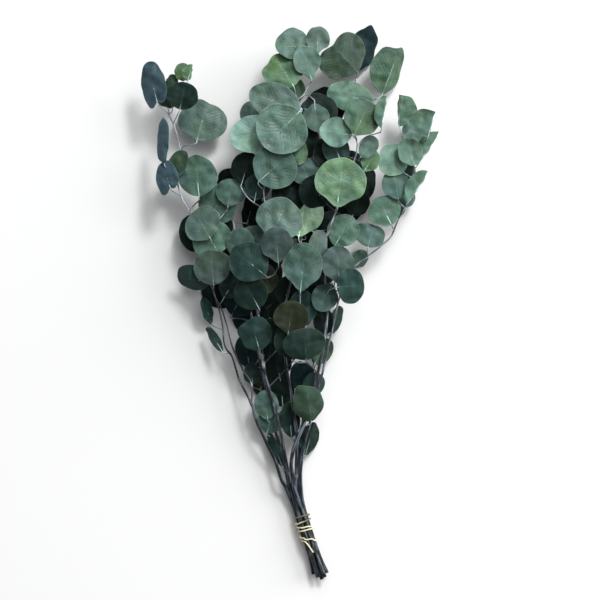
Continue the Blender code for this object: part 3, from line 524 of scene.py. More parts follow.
# Thin wood in the upper part of a stem is paler: below a radius, and beyond a share of the way to the tip
THIN_BARK = (0.108, 0.110, 0.117)
THIN_FROM = 1.75
THIN_FADE = 0.8
UPPER_FROM = 0.42
UPPER_FADE = 0.35
PALE_NODES = [(263, 365), (251, 385), (297, 478), (318, 340), (337, 208), (378, 248)]
PALE_REACH = 1.1
PALE_NODE = (0.42, 0.44, 0.42)
CUT_WOOD = (0.060, 0.050, 0.036)
BARK_MOTTLE = {"Coarse": 1.1, "Fine": 4.2, "Fineness": 0.75, "Depth": 1.4}
# Painted highlight: where a smooth noise runs high, the bark is tinted pale blue-grey and shines more, as if
# lit
HIGHLIGHT_STREAK_RAMP = (0.48, 0.61, 0.0, 0.85)
HIGHLIGHT_STREAK_TINT = (5.0, 5.5, 6.1)
BARK_SHINE = 0.20
HIGHLIGHT_STREAK_SHINE = 0.45
BARK_ROUGHNESS = 0.22
STREAK_ROUGHNESS = 0.40
BARK_RELIEF = 0.55
BARK_RELIEF_HEIGHT = 0.0003

# Petioles: their colours at the stem and at the blade, and the midrib's beside the blade's
PETIOLE_TONES = [(0.170, 0.175, 0.182), (0.240, 0.275, 0.255)]
RIB_GAIN = 1.3
RIB_LIFT = 0.012
RIB_FADE = 0.6

# Rubber: its colour, and that of the darker loops nearest to the leaves
RUBBER_TONE = (0.80, 0.76, 0.48)
DARK_RUBBER = (0.15, 0.14, 0.055)
DARK_RUBBER_REACH = 6.5
DARK_RUBBER_FADE = 2.5
RUBBER_MOTTLE = {"Coarse": 0.8, "Fine": 5.0, "Fineness": 0.75, "Depth": 0.45}
RUBBER_ROUGHNESS = 0.36
DIRT_ROUGHNESS = 0.25
RUBBER_RELIEF = 0.3
RUBBER_RELIEF_HEIGHT = 0.0002

# Fine form of a blade: rings from its middle to its rim, half its thickness, and its waves
BLADE_RINGS = [0.14, 0.28, 0.41, 0.53, 0.64, 0.74, 0.82, 0.89, 0.945, 0.98, 1.0]
BLADE_SPOKES = 48
THICK_MIDDLE = 0.24
THICK_RIM = 0.15
# Waves of the rim: how many to the turn, and how high
RIM_WAVES = [(4, 0.012), (7, 0.008)]
NOTCH_SPREAD = 0.28
NOTCHES = (-0.035, 0.045)
CREASES = (-0.7, 0.7)
# Ripples of the face: how high at most, how many to the turn, and with which power they grow outwards
RIPPLES = [(0.95, 3, 2), (0.65, 5, 4), (0.35, 9, 6)]
RIPPLE_SHARES = (0.4, 1.0)
BUCKLE = 0.42
BUCKLE_SHARES = (0.5, 1.0)
SKEW_BUCKLE = 0.7
BUCKLE_LENGTHS = (13.0, 24.0)
ROOT_CALM = 0.05
GROOVE_DEPTH = 0.10
GROOVE_WIDTH = 0.8
LOWEST = 0.46
SHADES = (0.90, 1.10)

# Fine form of the wood
STALK_RADII = (0.55, 0.42)
RIB_RADII = (0.36, 0.09)
RIB_SINK = 0.10
RIB_STOPS = [-0.3, -0.1, 0.1, 0.3, 0.5, 0.7, 0.88]
PETIOLE_STEPS = 12
FINE_STEM_SIDES = 14
FINE_TWIG_SIDES = 10
FINE_PETIOLE_SIDES = 8
FINE_BAND_SIDES = 10
RUN_STEPS = 5
KNUCKLE_SWELL = 0.30
KNUCKLE_REACH = 1.7
# The grain turns round a tube, and one unit of it is this long along the tube. It starts at a share of
# the tube's first point, so that no two tubes have the same marks
GRAIN_LENGTH = 14.0
GRAIN_SHIFT = 0.37
FIRST_SIDE = (1.0, 0.3, 0.0)
FINISH_SEED = 5

# The kind of attribute and its field for each count of numbers at a point
ATTRIBUTE_KINDS = {1: ("FLOAT", "value"), 3: ("FLOAT_VECTOR", "vector"), 4: ("FLOAT_COLOR", "color")}
FLIPPED = [1, 0, 2]

# The room, in metres: each lamp's place, size and power
LAMPS = {
    "key": ((1.9, 3.7, 5.3), 6.4, 285.0),
    "crisp": ((2.3, 4.3, 5.0), 1.4, 290.0),
    "side": ((4.9, 1.6, 2.1), 3.4, 225.0),
}
WORLD_TONE = (0.97, 0.985, 1.0)
WORLD_STRENGTH = 0.21
FLOOR_HALF = 4.0
FLOOR_TONE = (0.83, 0.83, 0.83)
FLOOR_ROUGHNESS = 0.9
CAMERA_HEIGHT = 2.6
CAMERA_SENSOR = 36.0
# The sheet fills the picture at this height over the floor
FOCUS_HEIGHT = 0.05
SHEET_WIDTH = 0.6
SHEET_MIDDLE = (300, 300)


def on_sheet(x, y):
    """The frame's X and Y of a point on the sheet."""
    return np.array([x - SHEET_CENTRE[0], SHEET_CENTRE[1] - y])


def unit(vector):
    return vector / np.linalg.norm(vector)


def blend(first, second, share):
    """What lies between two values, at a share of the way from the first to the second."""
    return np.asarray(first) * (1 - share) + np.asarray(second) * share


def fade(value, start, length):
    """A share that grows evenly from 0 to 1 while a value goes a length beyond a start."""
    return np.clip((value - start) / length, 0, 1)


def bundle_point(along, across):
    """A point in the bundle: along its axis from its top towards the cut ends, and across to the right."""
    axis = np.array([math.sin(BUNDLE_LEAN), -math.cos(BUNDLE_LEAN)])
    side = np.array([math.cos(BUNDLE_LEAN), math.sin(BUNDLE_LEAN)])
    return on_sheet(*BUNDLE_TOP) + along * axis + across * side


class HeightMap:
    """The top of everything laid so far, in square cells over the surface."""

    def __init__(self):
        self.top = np.zeros(MAP_SIZE)

    def cells(self, points):
        found = np.round((points[:, :2] - MAP_LOW) / CELL).astype(int)
        return np.clip(found, 1, np.array(MAP_SIZE) - 2)

    def below(self, points):
        """The highest top within a cell of each point."""
        cells = self.cells(points)
        near = [self.top[cells[:, 0] + i, cells[:, 1] + j] for i in (-1, 0, 1) for j in (-1, 0, 1)]
        return np.max(near, axis=0)

    def add(self, points):
        cells = self.cells(points)
        np.maximum.at(self.top, (cells[:, 0], cells[:, 1]), points[:, 2])

    def copy(self):
        other = HeightMap()
        other.top = self.top.copy()
        return other


class Leaf:
    """A round blade on a petiole: where it lies, how it is turned, and how it is cupped and waved."""

    def __init__(self, row, draw, most_tilt):
        x, y, heading, self.length, self.width, lean_right, lean_up, self.tone = row
        tilt = draw.uniform(-1, 1, 2) * most_tilt
        shape = draw.uniform(-1, 1, 5)
        self.loft = draw.uniform(-LOFT, LOFT)
        self.flat = most_tilt == 0
        if self.flat:
            shape = shape * 0.0
        elif lean_right or lean_up:
            tilt = tilt * GIVEN_TILT
        else:
            lean_right = DOME_LEAN[0] * max(-1, min(1, (x - DOME_MIDDLE[0]) / DOME_HALF[0]))
            lean_up = DOME_LEAN[1] * max(-1, min(1, (DOME_MIDDLE[1] - y) / DOME_HALF[1]))
        right = lean_right + tilt[0]
        up = lean_up + tilt[1]
        self.normal = np.array([right, up, math.sqrt(1 - right**2 - up**2)])
        turn = math.radians(heading)
        rise = -(right * math.cos(turn) + up * math.sin(turn)) / self.normal[2]
        self.ahead = unit(np.array([math.cos(turn), math.sin(turn), rise]))
        self.side = np.cross(self.normal, self.ahead)
        self.middle = np.append(on_sheet(x, y), 0.0)
        self.cup = CUP * self.width * shape[0]
        self.curl = CURL * self.length * shape[1]
        self.wave = WAVE * self.width * shape[2]
        self.phase = math.pi * shape[3]
        self.point = POINT * shape[4]
        self.taper = TAPER + TAPER_RANGE * shape[3]
        self.folds = [math.radians(angle) for angle in FOLDS.get((x, y), (0, 0))]
        self.lobes = np.radians(LOBES.get((x, y), np.zeros((0, 3)))).reshape(-1, 3)
        self.least = 0.0

    def outline(self, angle):
        """Reach of the rim at an angle from the root, as a share of a plain oval's: the base is narrower
        on both sides of the root, and the tip is blunt or has a slight point."""
        from_tip = np.abs(np.mod(angle, 2 * math.pi) - math.pi)
        from_root = math.pi - from_tip
        reach = (
            1
            - self.taper * np.exp(-(((from_root - TAPER_ANGLE) / TAPER_SPREAD) ** 2))
            + self.point * np.exp(-((from_tip / POINT_SPREAD) ** 2))
        )
        for middle, more, spread in self.lobes:
            apart = np.abs(np.mod(angle - middle + math.pi, 2 * math.pi) - math.pi)
            reach = reach + math.degrees(more) * np.exp(-((apart / spread) ** 2))
        return reach

    def turned(self, across):
        """Across and up of points at distances from the midrib, with each half turned down by its fold."""
        fold = np.where(across > 0, self.folds[0], self.folds[1])
        return across * np.cos(fold), -np.abs(across) * np.sin(fold)

    def normals(self, angle):
        """The upper face's normal at an angle from the root: each half's own, and the mean of the two on
        the midrib."""
        side = np.sign(np.round(np.sin(angle), 6))
        fold = np.where(side > 0, self.folds[0], self.folds[1]) * np.abs(side)
        return np.cos(fold)[..., None] * self.normal + (side * np.sin(fold))[..., None] * self.side

    def blade(self, share, angle):
        """Points of the blade's middle face: a share of the way from its middle to its rim, at an angle
        from the root. It is cupped across the midrib, curled along it, and waved towards the rim."""
        reach = share * self.outline(angle)
        along = -np.cos(angle) * reach * self.length / 2
        across = np.sin(angle) * reach * self.width / 2
        lift = (
            self.cup * (share * np.sin(angle)) ** 2
            + self.curl * (share * np.cos(angle)) ** 2
            + self.wave * share**3 * np.sin(2 * angle + self.phase) * np.sin(angle / 2)
        )
        across, drop = self.turned(across)
        lift = lift + drop
        return (
            self.middle
            + along[..., None] * self.ahead
            + across[..., None] * self.side
            + lift[..., None] * self.normal
        )

    def footprint(self):
        """Points all over the blade, about a cell apart."""
        rings = np.linspace(0, 1, int(max(self.length, self.width) / 2 / CELL) + 2)
        angles = np.linspace(0, 2 * math.pi, int(math.pi * self.length / CELL), endpoint=False)
        share, angle = np.meshgrid(rings, angles)
        return self.blade(share.ravel(), angle.ravel())

    def root(self):
        return self.blade(np.array([1.0]), np.array([0.0]))[0]

    def petiole(self):
        """The petiole's middle line: it leaves the blade along the midrib and turns to its joint."""
        root = self.root()
        reach = np.linalg.norm(self.joint - root)
        bend = root - self.ahead * min(0.5 * reach, PETIOLE_STUB)
        middle = 0.25 * root + 0.5 * bend + 0.25 * self.joint
        middle[2] += self.lift
        return np.array([root, middle, self.joint])


class FineLeaf(Leaf):
    """A leaf with the details that its plain form leaves out: a rib, ripples, buckles, a slight crease and
    an uneven rim."""

    def detail(self, draw):
        """Draws this leaf's own details, in an order that is kept."""
        tallest = np.array([height for height, _, _ in RIPPLES])
        self.ripples = draw.uniform(*RIPPLE_SHARES, 3) * tallest * draw.choice([-1, 1], 3)
        self.turns = draw.uniform(0, 2 * math.pi, 5)
        self.buckle = draw.uniform(*BUCKLE_SHARES) * BUCKLE
        self.buckle_turns = draw.uniform(0, 2 * math.pi, 4)
        self.buckle_lengths = draw.uniform(*BUCKLE_LENGTHS, 4)
        self.crease = draw.uniform(*CREASES)
        self.notch = draw.uniform(*NOTCHES)
        self.shade = draw.uniform(*SHADES)
        self.seed = draw.uniform(0, 1)

    def fine_outline(self, angle):
        """The rim's reach beside the plain form's: waves that die away at the root, and a point or notch at
        the tip."""
        from_tip = np.abs(np.mod(angle, 2 * math.pi) - math.pi)
        from_root = np.minimum(math.pi - from_tip, 1)
        reach = 1
        for (count, height), turn in zip(RIM_WAVES, self.turns[3:]):
            reach = reach + height * np.sin(count * angle + turn) * from_root
        return reach + self.notch * np.exp(-((from_tip / NOTCH_SPREAD) ** 2))

    def fine_blade(self, share, angle):
        """The blade's middle face with a slight crease along the midrib, ripples that grow towards the rim,
        buckles, and the groove of the midrib. The buckles are a sine along the blade times a sine across
        it, and the same along its two diagonals. All but the groove die away at the root. No point is so
        low that the midrib would sink into the surface that the bunch lies on."""
        plain = self.blade(share * self.fine_outline(angle), angle)
        across = share * np.sin(angle) * self.width / 2
        along = share * np.cos(angle) * self.length / 2
        ways = (along, across, along + across, along - across)
        waves = [
            np.sin(2 * math.pi * way / size + turn)
            for way, size, turn in zip(ways, self.buckle_lengths, self.buckle_turns)
        ]
        lift = self.crease * share * np.abs(np.sin(angle))
        for ripple, (_, count, power), turn in zip(self.ripples, RIPPLES, self.turns):
            lift = lift + ripple * share**power * np.sin(count * angle + turn)
        lift = lift + self.buckle * (waves[0] * waves[1] + SKEW_BUCKLE * waves[2] * waves[3])
        lift = lift * (1 - np.exp(-((share * (1 + np.cos(angle)) - 2) ** 2) / ROOT_CALM))
        lift = lift - GROOVE_DEPTH * np.exp(-((across / GROOVE_WIDTH) ** 2))
        made = plain + lift[..., None] * self.normals(angle)
        made[..., 2] = np.maximum(made[..., 2], LOWEST)
        return made

    def face_tone(self):
        return np.array(TONES[self.tone]) * self.shade

    def rib_tone(self):
        return self.face_tone() * RIB_GAIN + RIB_LIFT


class Wood:
    """A stem and its twigs as a tree of rings, joined by straight runs."""

    def __init__(self, name):
        self.rings = []
        self.parents = []
        self.pinned = []
        self.lines = []
        self.carried = []
        self.thinning = THINNING.get(name, USUAL_THINNING)
        seat = BUNDLE_SEATS[name]
        across = seat[0] * STEM_PITCH / 2
        height = BUNDLE_HEIGHT + seat[1] * STEM_PITCH * math.sqrt(3) / 2
        spread = 1 + END_SPLAY * (END_REACH[name] - STRAIGHT_REACH)
        run = [
            bundle_point(END_REACH[name], across * spread),
            bundle_point(STRAIGHT_REACH, across),
            bundle_point(0, across),
        ]
        pinned = [height, height, height]
        main, *forks = ROUTES[name]
        self.grow(run + self.spaced([on_sheet(*p) for p in main]), None, pinned)
        for fork in forks:
            start = int(np.argmin([np.linalg.norm(r - on_sheet(*fork[0])) for r in self.rings]))
            self.grow(self.spaced([on_sheet(*p) for p in fork])[1:], start, [])

    @staticmethod
    def spaced(points):
        """The same route with a point halfway along each run longer than RING_STEP."""
        found = [points[0]]
        for before, after in zip(points, points[1:]):
            if np.linalg.norm(after - before) > RING_STEP:
                found.append((before + after) / 2)
            found.append(after)
        return found

    def grow(self, points, start, pinned):
        """Adds a line of rings that starts at a ring that is there, or at its own first point."""
        line = [] if start is None else [start]
        for number, point in enumerate(points):
            self.rings.append(np.array(point))
            self.parents.append(line[-1] if line else -1)
            self.pinned.append(pinned[number] if number < len(pinned) else None)
            self.carried.append(0)
            line.append(len(self.rings) - 1)
        self.lines.append(line)
        return line

    def beads(self):
        """Points about BEAD_STEP apart on every run: place, lower ring, upper ring, share of the way up."""
        rows = []
        for ring, parent in enumerate(self.parents):
            if parent < 0:
                continue
            length = np.linalg.norm(self.rings[ring] - self.rings[parent])
            for share in np.linspace(0, 1, max(2, int(length / BEAD_STEP) + 1)):
                place = blend(self.rings[parent], self.rings[ring], share)
                rows.append((place[0], place[1], parent, ring, share))
        return np.array(rows)

    def carry(self, ring):
        """Counts one more leaf on every ring from this one down to the cut end."""
        while ring >= 0:
            self.carried[ring] += 1
            ring = self.parents[ring]

    def radii(self):
        """A stem's section grows with the share of the leaves that it carries and thins away from the tie."""
        carried = np.array(self.carried, float)
        above = np.maximum(np.array(self.rings)[:, 1] - bundle_point(0, 0)[1], 0)
        share = carried / carried[0] * np.exp(-above / self.thinning)
        return np.sqrt(TIP_RADIUS**2 + share * (STEM_RADIUS**2 - TIP_RADIUS**2))


def growth_cost(places, heads, target):
    """Distance from each place to a target, more where the wood there grows away from it."""
    away = target - places
    distance = np.linalg.norm(away, axis=1)
    forward = np.sum(away * heads, axis=1) / np.maximum(distance, 0.1)
    return distance * (1 + AWAY_COST * (1 - forward))


def join_leaves(wood, leaves):
    """Joins every leaf to its stem, the nearest first: by its petiole alone where it is near enough,
    and otherwise by a new twig from a ring, which later leaves may join too."""
    waiting = list(leaves)
    while waiting:
        beads = wood.beads()
        beads = beads[beads[:, 1] > bundle_point(-BARE_REACH, 0)[1]]
        rings = np.array(wood.rings)
        heads = rings[beads[:, 3].astype(int)] - rings[beads[:, 2].astype(int)]
        heads = heads / np.linalg.norm(heads, axis=1)[:, None]
        best = None
        for leaf in waiting:
            target = leaf.root()[:2] - PETIOLE_STUB * unit(leaf.ahead[:2])
            cost = growth_cost(beads[:, :2], heads, target)
            nearest = int(np.argmin(cost))
            if best is None or cost[nearest] < best[0]:
                best = (cost[nearest], leaf, nearest, target)
        cost, leaf, nearest, target = best
        if cost > PETIOLE_REACH:
            at_rings = np.flatnonzero(beads[:, 4] == 1)
            ring_cost = growth_cost(beads[at_rings, :2], heads[at_rings], target)
            chosen = at_rings[int(np.argmin(ring_cost))]
            start = int(beads[chosen, 3])
            first = rings[start]
            reach = np.linalg.norm(target - first)
            turn = first + heads[chosen] * TWIG_LEAD * reach
            steps = max(2, int(round(reach / RING_STEP)) + 1)
            shares = np.linspace(0, 1, steps + 1)[1:, None]
            curve = (1 - shares) ** 2 * first + 2 * shares * (1 - shares) * turn + shares**2 * target
            line = wood.grow(list(curve), start, [])
            leaf.hold = (line[-2], line[-1], 1.0)
        else:
            leaf.hold = (int(beads[nearest, 2]), int(beads[nearest, 3]), beads[nearest, 4])
        wood.carry(leaf.hold[1])
        waiting.remove(leaf)


def natural_height(name, place):
    """Height of the wood where nothing lifts it: it climbs from the bundle to the crown."""
    seat = BUNDLE_HEIGHT + BUNDLE_SEATS[name][1] * STEM_PITCH * math.sqrt(3) / 2
    above = np.linalg.norm(place - bundle_point(0, 0))
    share = min(above / CLIMB_REACH, 1.0)
    return seat + (CROWN_HEIGHT[name] - seat) * share * share * (3 - 2 * share)


def lift_wood(name, wood, blades, older):
    """Heights of the rings: over the leaves below, over the wood of the older stems wherever a run
    passes it, and never steeper than STEEPEST from ring to ring."""
    rings = np.array(wood.rings)
    radii = wood.radii()
    need = np.array([natural_height(name, place) for place in rings])
    need = np.maximum(need, wood.wanted)
    beads = wood.beads()
    lower = beads[:, 2].astype(int)
    upper = beads[:, 3].astype(int)
    share = beads[:, 4]
    radius = blend(radii[lower], radii[upper], share)
    wanted = blades.below(beads) + radius + WOOD_GAP
    if len(older):
        apart = np.linalg.norm(beads[:, None, :2] - older[None, :, :2], axis=2)
        clear = radius[:, None] + older[None, :, 3] + WOOD_GAP
        rise = np.sqrt(np.maximum(clear**2 - apart**2, 0))
        over = np.where(apart < clear, older[None, :, 2] + rise, 0)
        wanted = np.maximum(wanted, over.max(axis=1))
    free = beads[:, 1] > bundle_point(-HELD_REACH, 0)[1]
    np.maximum.at(need, lower[free], wanted[free])
    np.maximum.at(need, upper[free], wanted[free])
    for ring in reversed(range(len(rings))):
        parent = wood.parents[ring]
        if parent >= 0:
            run = np.linalg.norm(rings[ring] - rings[parent])
            need[parent] = max(need[parent], need[ring] - STEEPEST * run)
    for ring in range(len(rings)):
        parent = wood.parents[ring]
        if wood.pinned[ring] is not None:
            need[ring] = wood.pinned[ring]
        elif parent >= 0:
            run = np.linalg.norm(rings[ring] - rings[parent])
            need[ring] = max(need[ring], need[parent] - STEEPEST * run)
    wood.places = np.column_stack([rings, need])
    wood.radius = radii
    height = blend(need[lower], need[upper], share)
    return np.column_stack([beads[:, :2], height, radius])


def rest_leaf(leaf, heights):
    """Lifts a leaf until it clears what lies under it, and its root reaches its least height."""
    leaf.middle[2] = 0.0
    points = leaf.footprint()
    clear = heights.below(points) + BLADE_THICKNESS / 2 - points[:, 2]
    gap = 0.0 if leaf.flat else LEAF_GAP
    leaf.middle[2] = max(clear.max() + gap, leaf.least - leaf.root()[2])


def cover(points, thickness):
    """The points of a face's top, half a thickness up."""
    raised = points.copy()
    raised[:, 2] += thickness
    return raised


def hang_petiole(leaf, wood, below):
    """Fixes a leaf's joint on the wood, and arches its petiole over what lies below."""
    leaf.joint = joint_of(wood, leaf)
    leaf.lift = 0.0
    root, middle, joint = leaf.petiole()
    for share in (0.4, 0.6, 0.8, 1.0):
        for end in (root, joint):
            place = blend(end, middle, share)
            short = below.below(place[None])[0] + PETIOLE_RADIUS + LEAF_GAP - place[2]
            leaf.lift = max(leaf.lift, short / share)


def in_crown(x, y):
    """Whether a point is inside the crown's outline: a line from it crosses the outline an odd number
    of times."""
    inside = False
    for (x0, y0), (x1, y1) in zip(CROWN, CROWN[1:] + CROWN[:1]):
        if (y0 > y) != (y1 > y) and x < x0 + (x1 - x0) * (y - y0) / (y1 - y0):
            inside = not inside
    return inside


def hidden_rows(name):
    """Leaves by rule along a stem's route, left and right by turns, at a seeded size and splay."""
    if name not in HIDDEN_LEAVES:
        return []
    first, last, seed = HIDDEN_LEAVES[name]
    draw = np.random.default_rng(seed)
    route = ROUTES[name][0]
    points = np.array(route, float)
    runs = np.linalg.norm(np.diff(points, axis=0), axis=1)
    travelled = np.concatenate([[0], np.cumsum(runs)])
    rows = []
    for number, distance in enumerate(np.arange(0, travelled[-1], HIDDEN_STEP)):
        x = np.interp(distance, travelled, points[:, 0])
        y = np.interp(distance, travelled, points[:, 1])
        ahead_x = np.interp(distance + LOOK_AHEAD, travelled, points[:, 0]) - x
        ahead_y = np.interp(distance + LOOK_AHEAD, travelled, points[:, 1]) - y
        size = draw.uniform(*HIDDEN_SIZE)
        splay = draw.uniform(*HIDDEN_SPLAY)
        if not last < y < first:
            continue
        side = 1 if number % 2 else -1
        heading = math.degrees(math.atan2(-ahead_y, ahead_x)) + side * splay
        reach = HIDDEN_PETIOLE + size / 2
        turn = math.radians(heading)
        x += reach * math.cos(turn)
        y -= reach * math.sin(turn)
        edges = [(x - size / 2, y), (x + size / 2, y), (x, y - size / 2), (x, y + size / 2)]
        if all(in_crown(*edge) for edge in edges):
            rows.append((x, y, heading, size, size, 0, 0, HIDDEN_TONE))
    return rows


class Pile:
    """What has been laid so far: the top of everything, the top of the leaves alone, and the wood."""

    def __init__(self):
        self.everything = HeightMap()
        self.blades = HeightMap()
        self.wood = np.zeros((0, 4))

    def copy(self):
        other = Pile()
        other.everything = self.everything.copy()
        other.blades = self.blades.copy()
        other.wood = self.wood.copy()
        return other

    def add_leafage(self, points, thickness):
        for heights in (self.everything, self.blades):
            heights.add(cover(points, thickness))

    def add_wood(self, beads):
        self.everything.add(cover(beads[:, :3], beads[:, 3].max()))
        self.wood = np.vstack([self.wood, beads])


def joint_of(wood, leaf):
    """The point of the wood that carries a leaf's petiole."""
    low, high, share = leaf.hold
    return blend(wood.places[low], wood.places[high], share)


def lay_stem(name, wood, under, over, pile):
    """Lays one stem on the pile: its under leaves, then its wood, then its over leaves, then petioles."""
    below = pile.everything.copy()
    for leaf in under:
        rest_leaf(leaf, pile.everything)
        pile.add_leafage(leaf.footprint(), BLADE_THICKNESS / 2)
    pile.add_wood(lift_wood(name, wood, pile.blades, pile.wood))
    for leaf in over:
        leaf.least = joint_of(wood, leaf)[2] + leaf.loft
        rest_leaf(leaf, pile.everything)
        pile.add_leafage(leaf.footprint(), BLADE_THICKNESS / 2)
    for leaf in under + over:
        hang_petiole(leaf, wood, below)
        root, middle, joint = leaf.petiole()
        shares = np.linspace(0, 1, PETIOLE_BEADS)[:, None]
        line = np.vstack([blend(root, middle, shares), blend(middle, joint, shares)])
        pile.add_leafage(line, PETIOLE_RADIUS)


def ease_petioles(wood, under, over):
    """Asks for higher wood, and for higher under leaves, where a trial left a petiole too steep."""
    for leaf in over:
        for ring in leaf.hold[:2]:
            wood.wanted[ring] = max(wood.wanted[ring], leaf.root()[2] - PETIOLE_RISE)
    for leaf in under:
        if not leaf.flat:
            leaf.least = joint_of(wood, leaf)[2] - PETIOLE_RISE


def lay_bunch():
    """Lays the stems on the surface one after the other, each over those before it."""
    pile = Pile()
    stems = {}
    flat_left = FLAT_LEAVES
    for name in ROUTES:
        draw = np.random.default_rng(LEAF_SEEDS[name])
        under = []
        for row in hidden_rows(name):
            flat = flat_left > 0 and name.startswith("under") and len(under) % 2 == 0
            under.append(FineLeaf(row, draw, 0.0 if flat else HIDDEN_TILT))
            flat_left -= flat
        under += [FineLeaf(row, draw, MOST_TILT) for row in UNDER_LEAVES[name]]
        over = [FineLeaf(row, draw, MOST_TILT) for row in OVER_LEAVES[name]]
        wood = Wood(name)
        join_leaves(wood, under + over)
        wood.wanted = np.zeros(len(wood.rings))
        for _ in range(TRIALS):
            lay_stem(name, wood, under, over, pile.copy())
            ease_petioles(wood, under, over)
        lay_stem(name, wood, under, over, pile)
        stems[name] = (wood, under + over)
    return stems


def ring_frames(points, side):
    """A pair of section axes at each point of a line, carried along it with the least turn."""
    points = np.array(points)
    ahead = np.gradient(points, axis=0)
    ahead = ahead / np.linalg.norm(ahead, axis=1)[:, None]
    across = []
    for direction in ahead:
        side = unit(side - np.dot(side, direction) * direction)
        across.append(side)
    across = np.array(across)
    return across, np.cross(ahead, across)


def band_line():
    """The middle line of the tie: passes over the stems from left to right and back beneath them, round
    the corners of their hexagon, until its end turns down between the two upper stems."""
    reach = STEM_RADIUS + BAND_GAP + BAND_RADIUS
    valley = math.sqrt(reach**2 - (STEM_PITCH / 2) ** 2)
    stops = []
    for number, (left, right) in enumerate(BAND_PASSES):
        stops.append((180 - 360 * number, left))
        stops.append((-360 * number, right))
    turns, places = zip(*stops)
    last_turn = turns[-2] - CORNER_STEP
    line = []
    for corner in np.arange(BAND_START, last_turn - 1, -CORNER_STEP):
        for turn in (corner + CORNER_HALF, corner - CORNER_HALF):
            along = np.interp(-turn, -np.array(turns), places)
            around = math.radians(turn)
            centre = math.radians(corner)
            across = STEM_PITCH * math.cos(centre) + reach * math.cos(around)
            height = STEM_PITCH * math.sin(centre) + reach * math.sin(around)
            line.append((*bundle_point(along, across), BUNDLE_HEIGHT + height))
    end = BUNDLE_HEIGHT + STEM_PITCH * math.sqrt(3) / 2 + valley
    line.append((*bundle_point(BAND_PASSES[-1][1], 0), end))
    return np.array(line)


def smooth_line(points, steps):
    """A curve through every point of a line. Between two points it is the cubic that has, at each of them,
    half the step between its two neighbours as its direction."""
    points = np.array(points, float)
    before = np.vstack([2 * points[:1] - points[1:2], points[:-2]])
    after = np.vstack([points[2:], 2 * points[-1:] - points[-2:-1]])
    start = points[:-1]
    end = points[1:]
    share = np.linspace(0, 1, steps, endpoint=False)[None, :, None]
    curve = 0.5 * (
        2 * start[:, None]
        + (end - before)[:, None] * share
        + (2 * before - 5 * start + 4 * end - after)[:, None] * share**2
        + (3 * start - before - 3 * end + after)[:, None] * share**3
    )
    return np.vstack([curve.reshape(-1, points.shape[1]), points[-1:]])


class Shape:
    """A mesh in the making: points, faces, and what the materials read at each point."""

    def __init__(self):
        self.points = []
        self.faces = []
        self.values = {}
        self.count = 0

    def add(self, points, faces, **values):
        """Adds points, arrays of faces that count these points from 0, and a value of each kind per point."""
        self.points.append(points)
        for block in faces:
            self.faces += (block + self.count).tolist()
        for name, value in values.items():
            self.values.setdefault(name, []).append(np.asarray(value, float))
        self.count += len(points)

    def build(self, name, material):
        """The piece's object, in metres, with its values as attributes and its blade map as a UV map."""
        mesh = bpy.data.meshes.new(name)
        mesh.from_pydata((np.vstack(self.points) * MM).tolist(), [], self.faces)
        mesh.polygons.foreach_set("use_smooth", np.ones(len(mesh.polygons), bool))
        corners = np.empty(len(mesh.loops), dtype=np.int32)
        mesh.loops.foreach_get("vertex_index", corners)
        for key, parts in self.values.items():
            value = np.concatenate(parts).reshape(self.count, -1)
            if key == "blade":
                layer = mesh.uv_layers.new(name=key)
                layer.data.foreach_set("uv", value[corners].ravel())
                continue
            if key == "tone":
                value = np.column_stack([value, np.ones(len(value))])
            kind, field = ATTRIBUTE_KINDS[value.shape[1]]
            mesh.attributes.new(key, kind, "POINT").data.foreach_set(field, value.ravel())
        mesh.materials.append(material)
        mesh.update()
        piece = bpy.data.objects.new(name, mesh)
        bpy.context.scene.collection.objects.link(piece)
        return piece


def grid_faces(rings, sides):
    """Quads between rings of points that follow each other."""
    ring = np.arange(rings - 1)[:, None] * sides
    side = np.arange(sides)[None, :]
    after = (side + 1) % sides
    quads = np.stack([ring + side, ring + after, ring + sides + after, ring + sides + side], axis=-1)
    return quads.reshape(-1, 4)


def fan_faces(first, sides, hub):
    """Triangles between a ring of points, counted from its first, and the point in its middle."""
    side = np.arange(sides)
    return np.stack([first + side, first + (side + 1) % sides, np.full(sides, hub)], axis=-1)


def add_tube(shape, line, radii, sides, tones, pale=0.0, cut=0.0):
    """A tube along a line: a point is the line's point plus the radius times the cosine of an angle
    across and its sine up. Each end is closed by a fan round a middle point."""
    line = np.array(line)
    across, up = ring_frames(line, np.array(FIRST_SIDE))
    angles = np.linspace(0, 2 * math.pi, sides, endpoint=False)
    along = np.concatenate([[0], np.cumsum(np.linalg.norm(np.diff(line, axis=0), axis=1))])
    rings = (
        line[:, None]
        + (radii[:, None] * np.cos(angles))[..., None] * across[:, None]
        + (radii[:, None] * np.sin(angles))[..., None] * up[:, None]
    )
    count = len(line)
    hub = count * sides
    grain = np.empty((count, sides, 3))
    grain[..., 0] = np.cos(angles)
    grain[..., 1] = np.sin(angles)
    grain[..., 2] = along[:, None] / GRAIN_LENGTH
    ends = [[0, 0, 0], [0, 0, along[-1] / GRAIN_LENGTH]]
    tones = np.broadcast_to(tones, (count, 3))
    pale = np.broadcast_to(pale, count)
    cuts = np.zeros(hub + 2)
    cuts[hub] = cut
    shape.add(
        np.vstack([rings.reshape(-1, 3), line[:1], line[-1:]]),
        [
            grid_faces(count, sides),
            fan_faces(0, sides, hub)[:, FLIPPED],
            fan_faces(hub - sides, sides, hub + 1),
        ],
        tone=np.vstack([np.repeat(tones, sides, axis=0), tones[:1], tones[-1:]]),
        grain=np.vstack([grain.reshape(-1, 3), ends]) + GRAIN_SHIFT * line[0],
        pale=np.concatenate([np.repeat(pale, sides), pale[:1], pale[-1:]]),
        cut=cuts,
    )


def bark_tone(name, share):
    """The bark's colour at a share of the way from the cut end to the tip."""
    stops = np.array(BARK_TONES)
    tone = np.stack([np.interp(share, BARK_STOPS, stops[:, i]) for i in range(3)], axis=-1)
    dark = 1 - (1 - DARK_BARK.get(name, 1.0)) * fade(np.asarray(share), 0, DARK_FROM)
    return tone * dark[..., None]


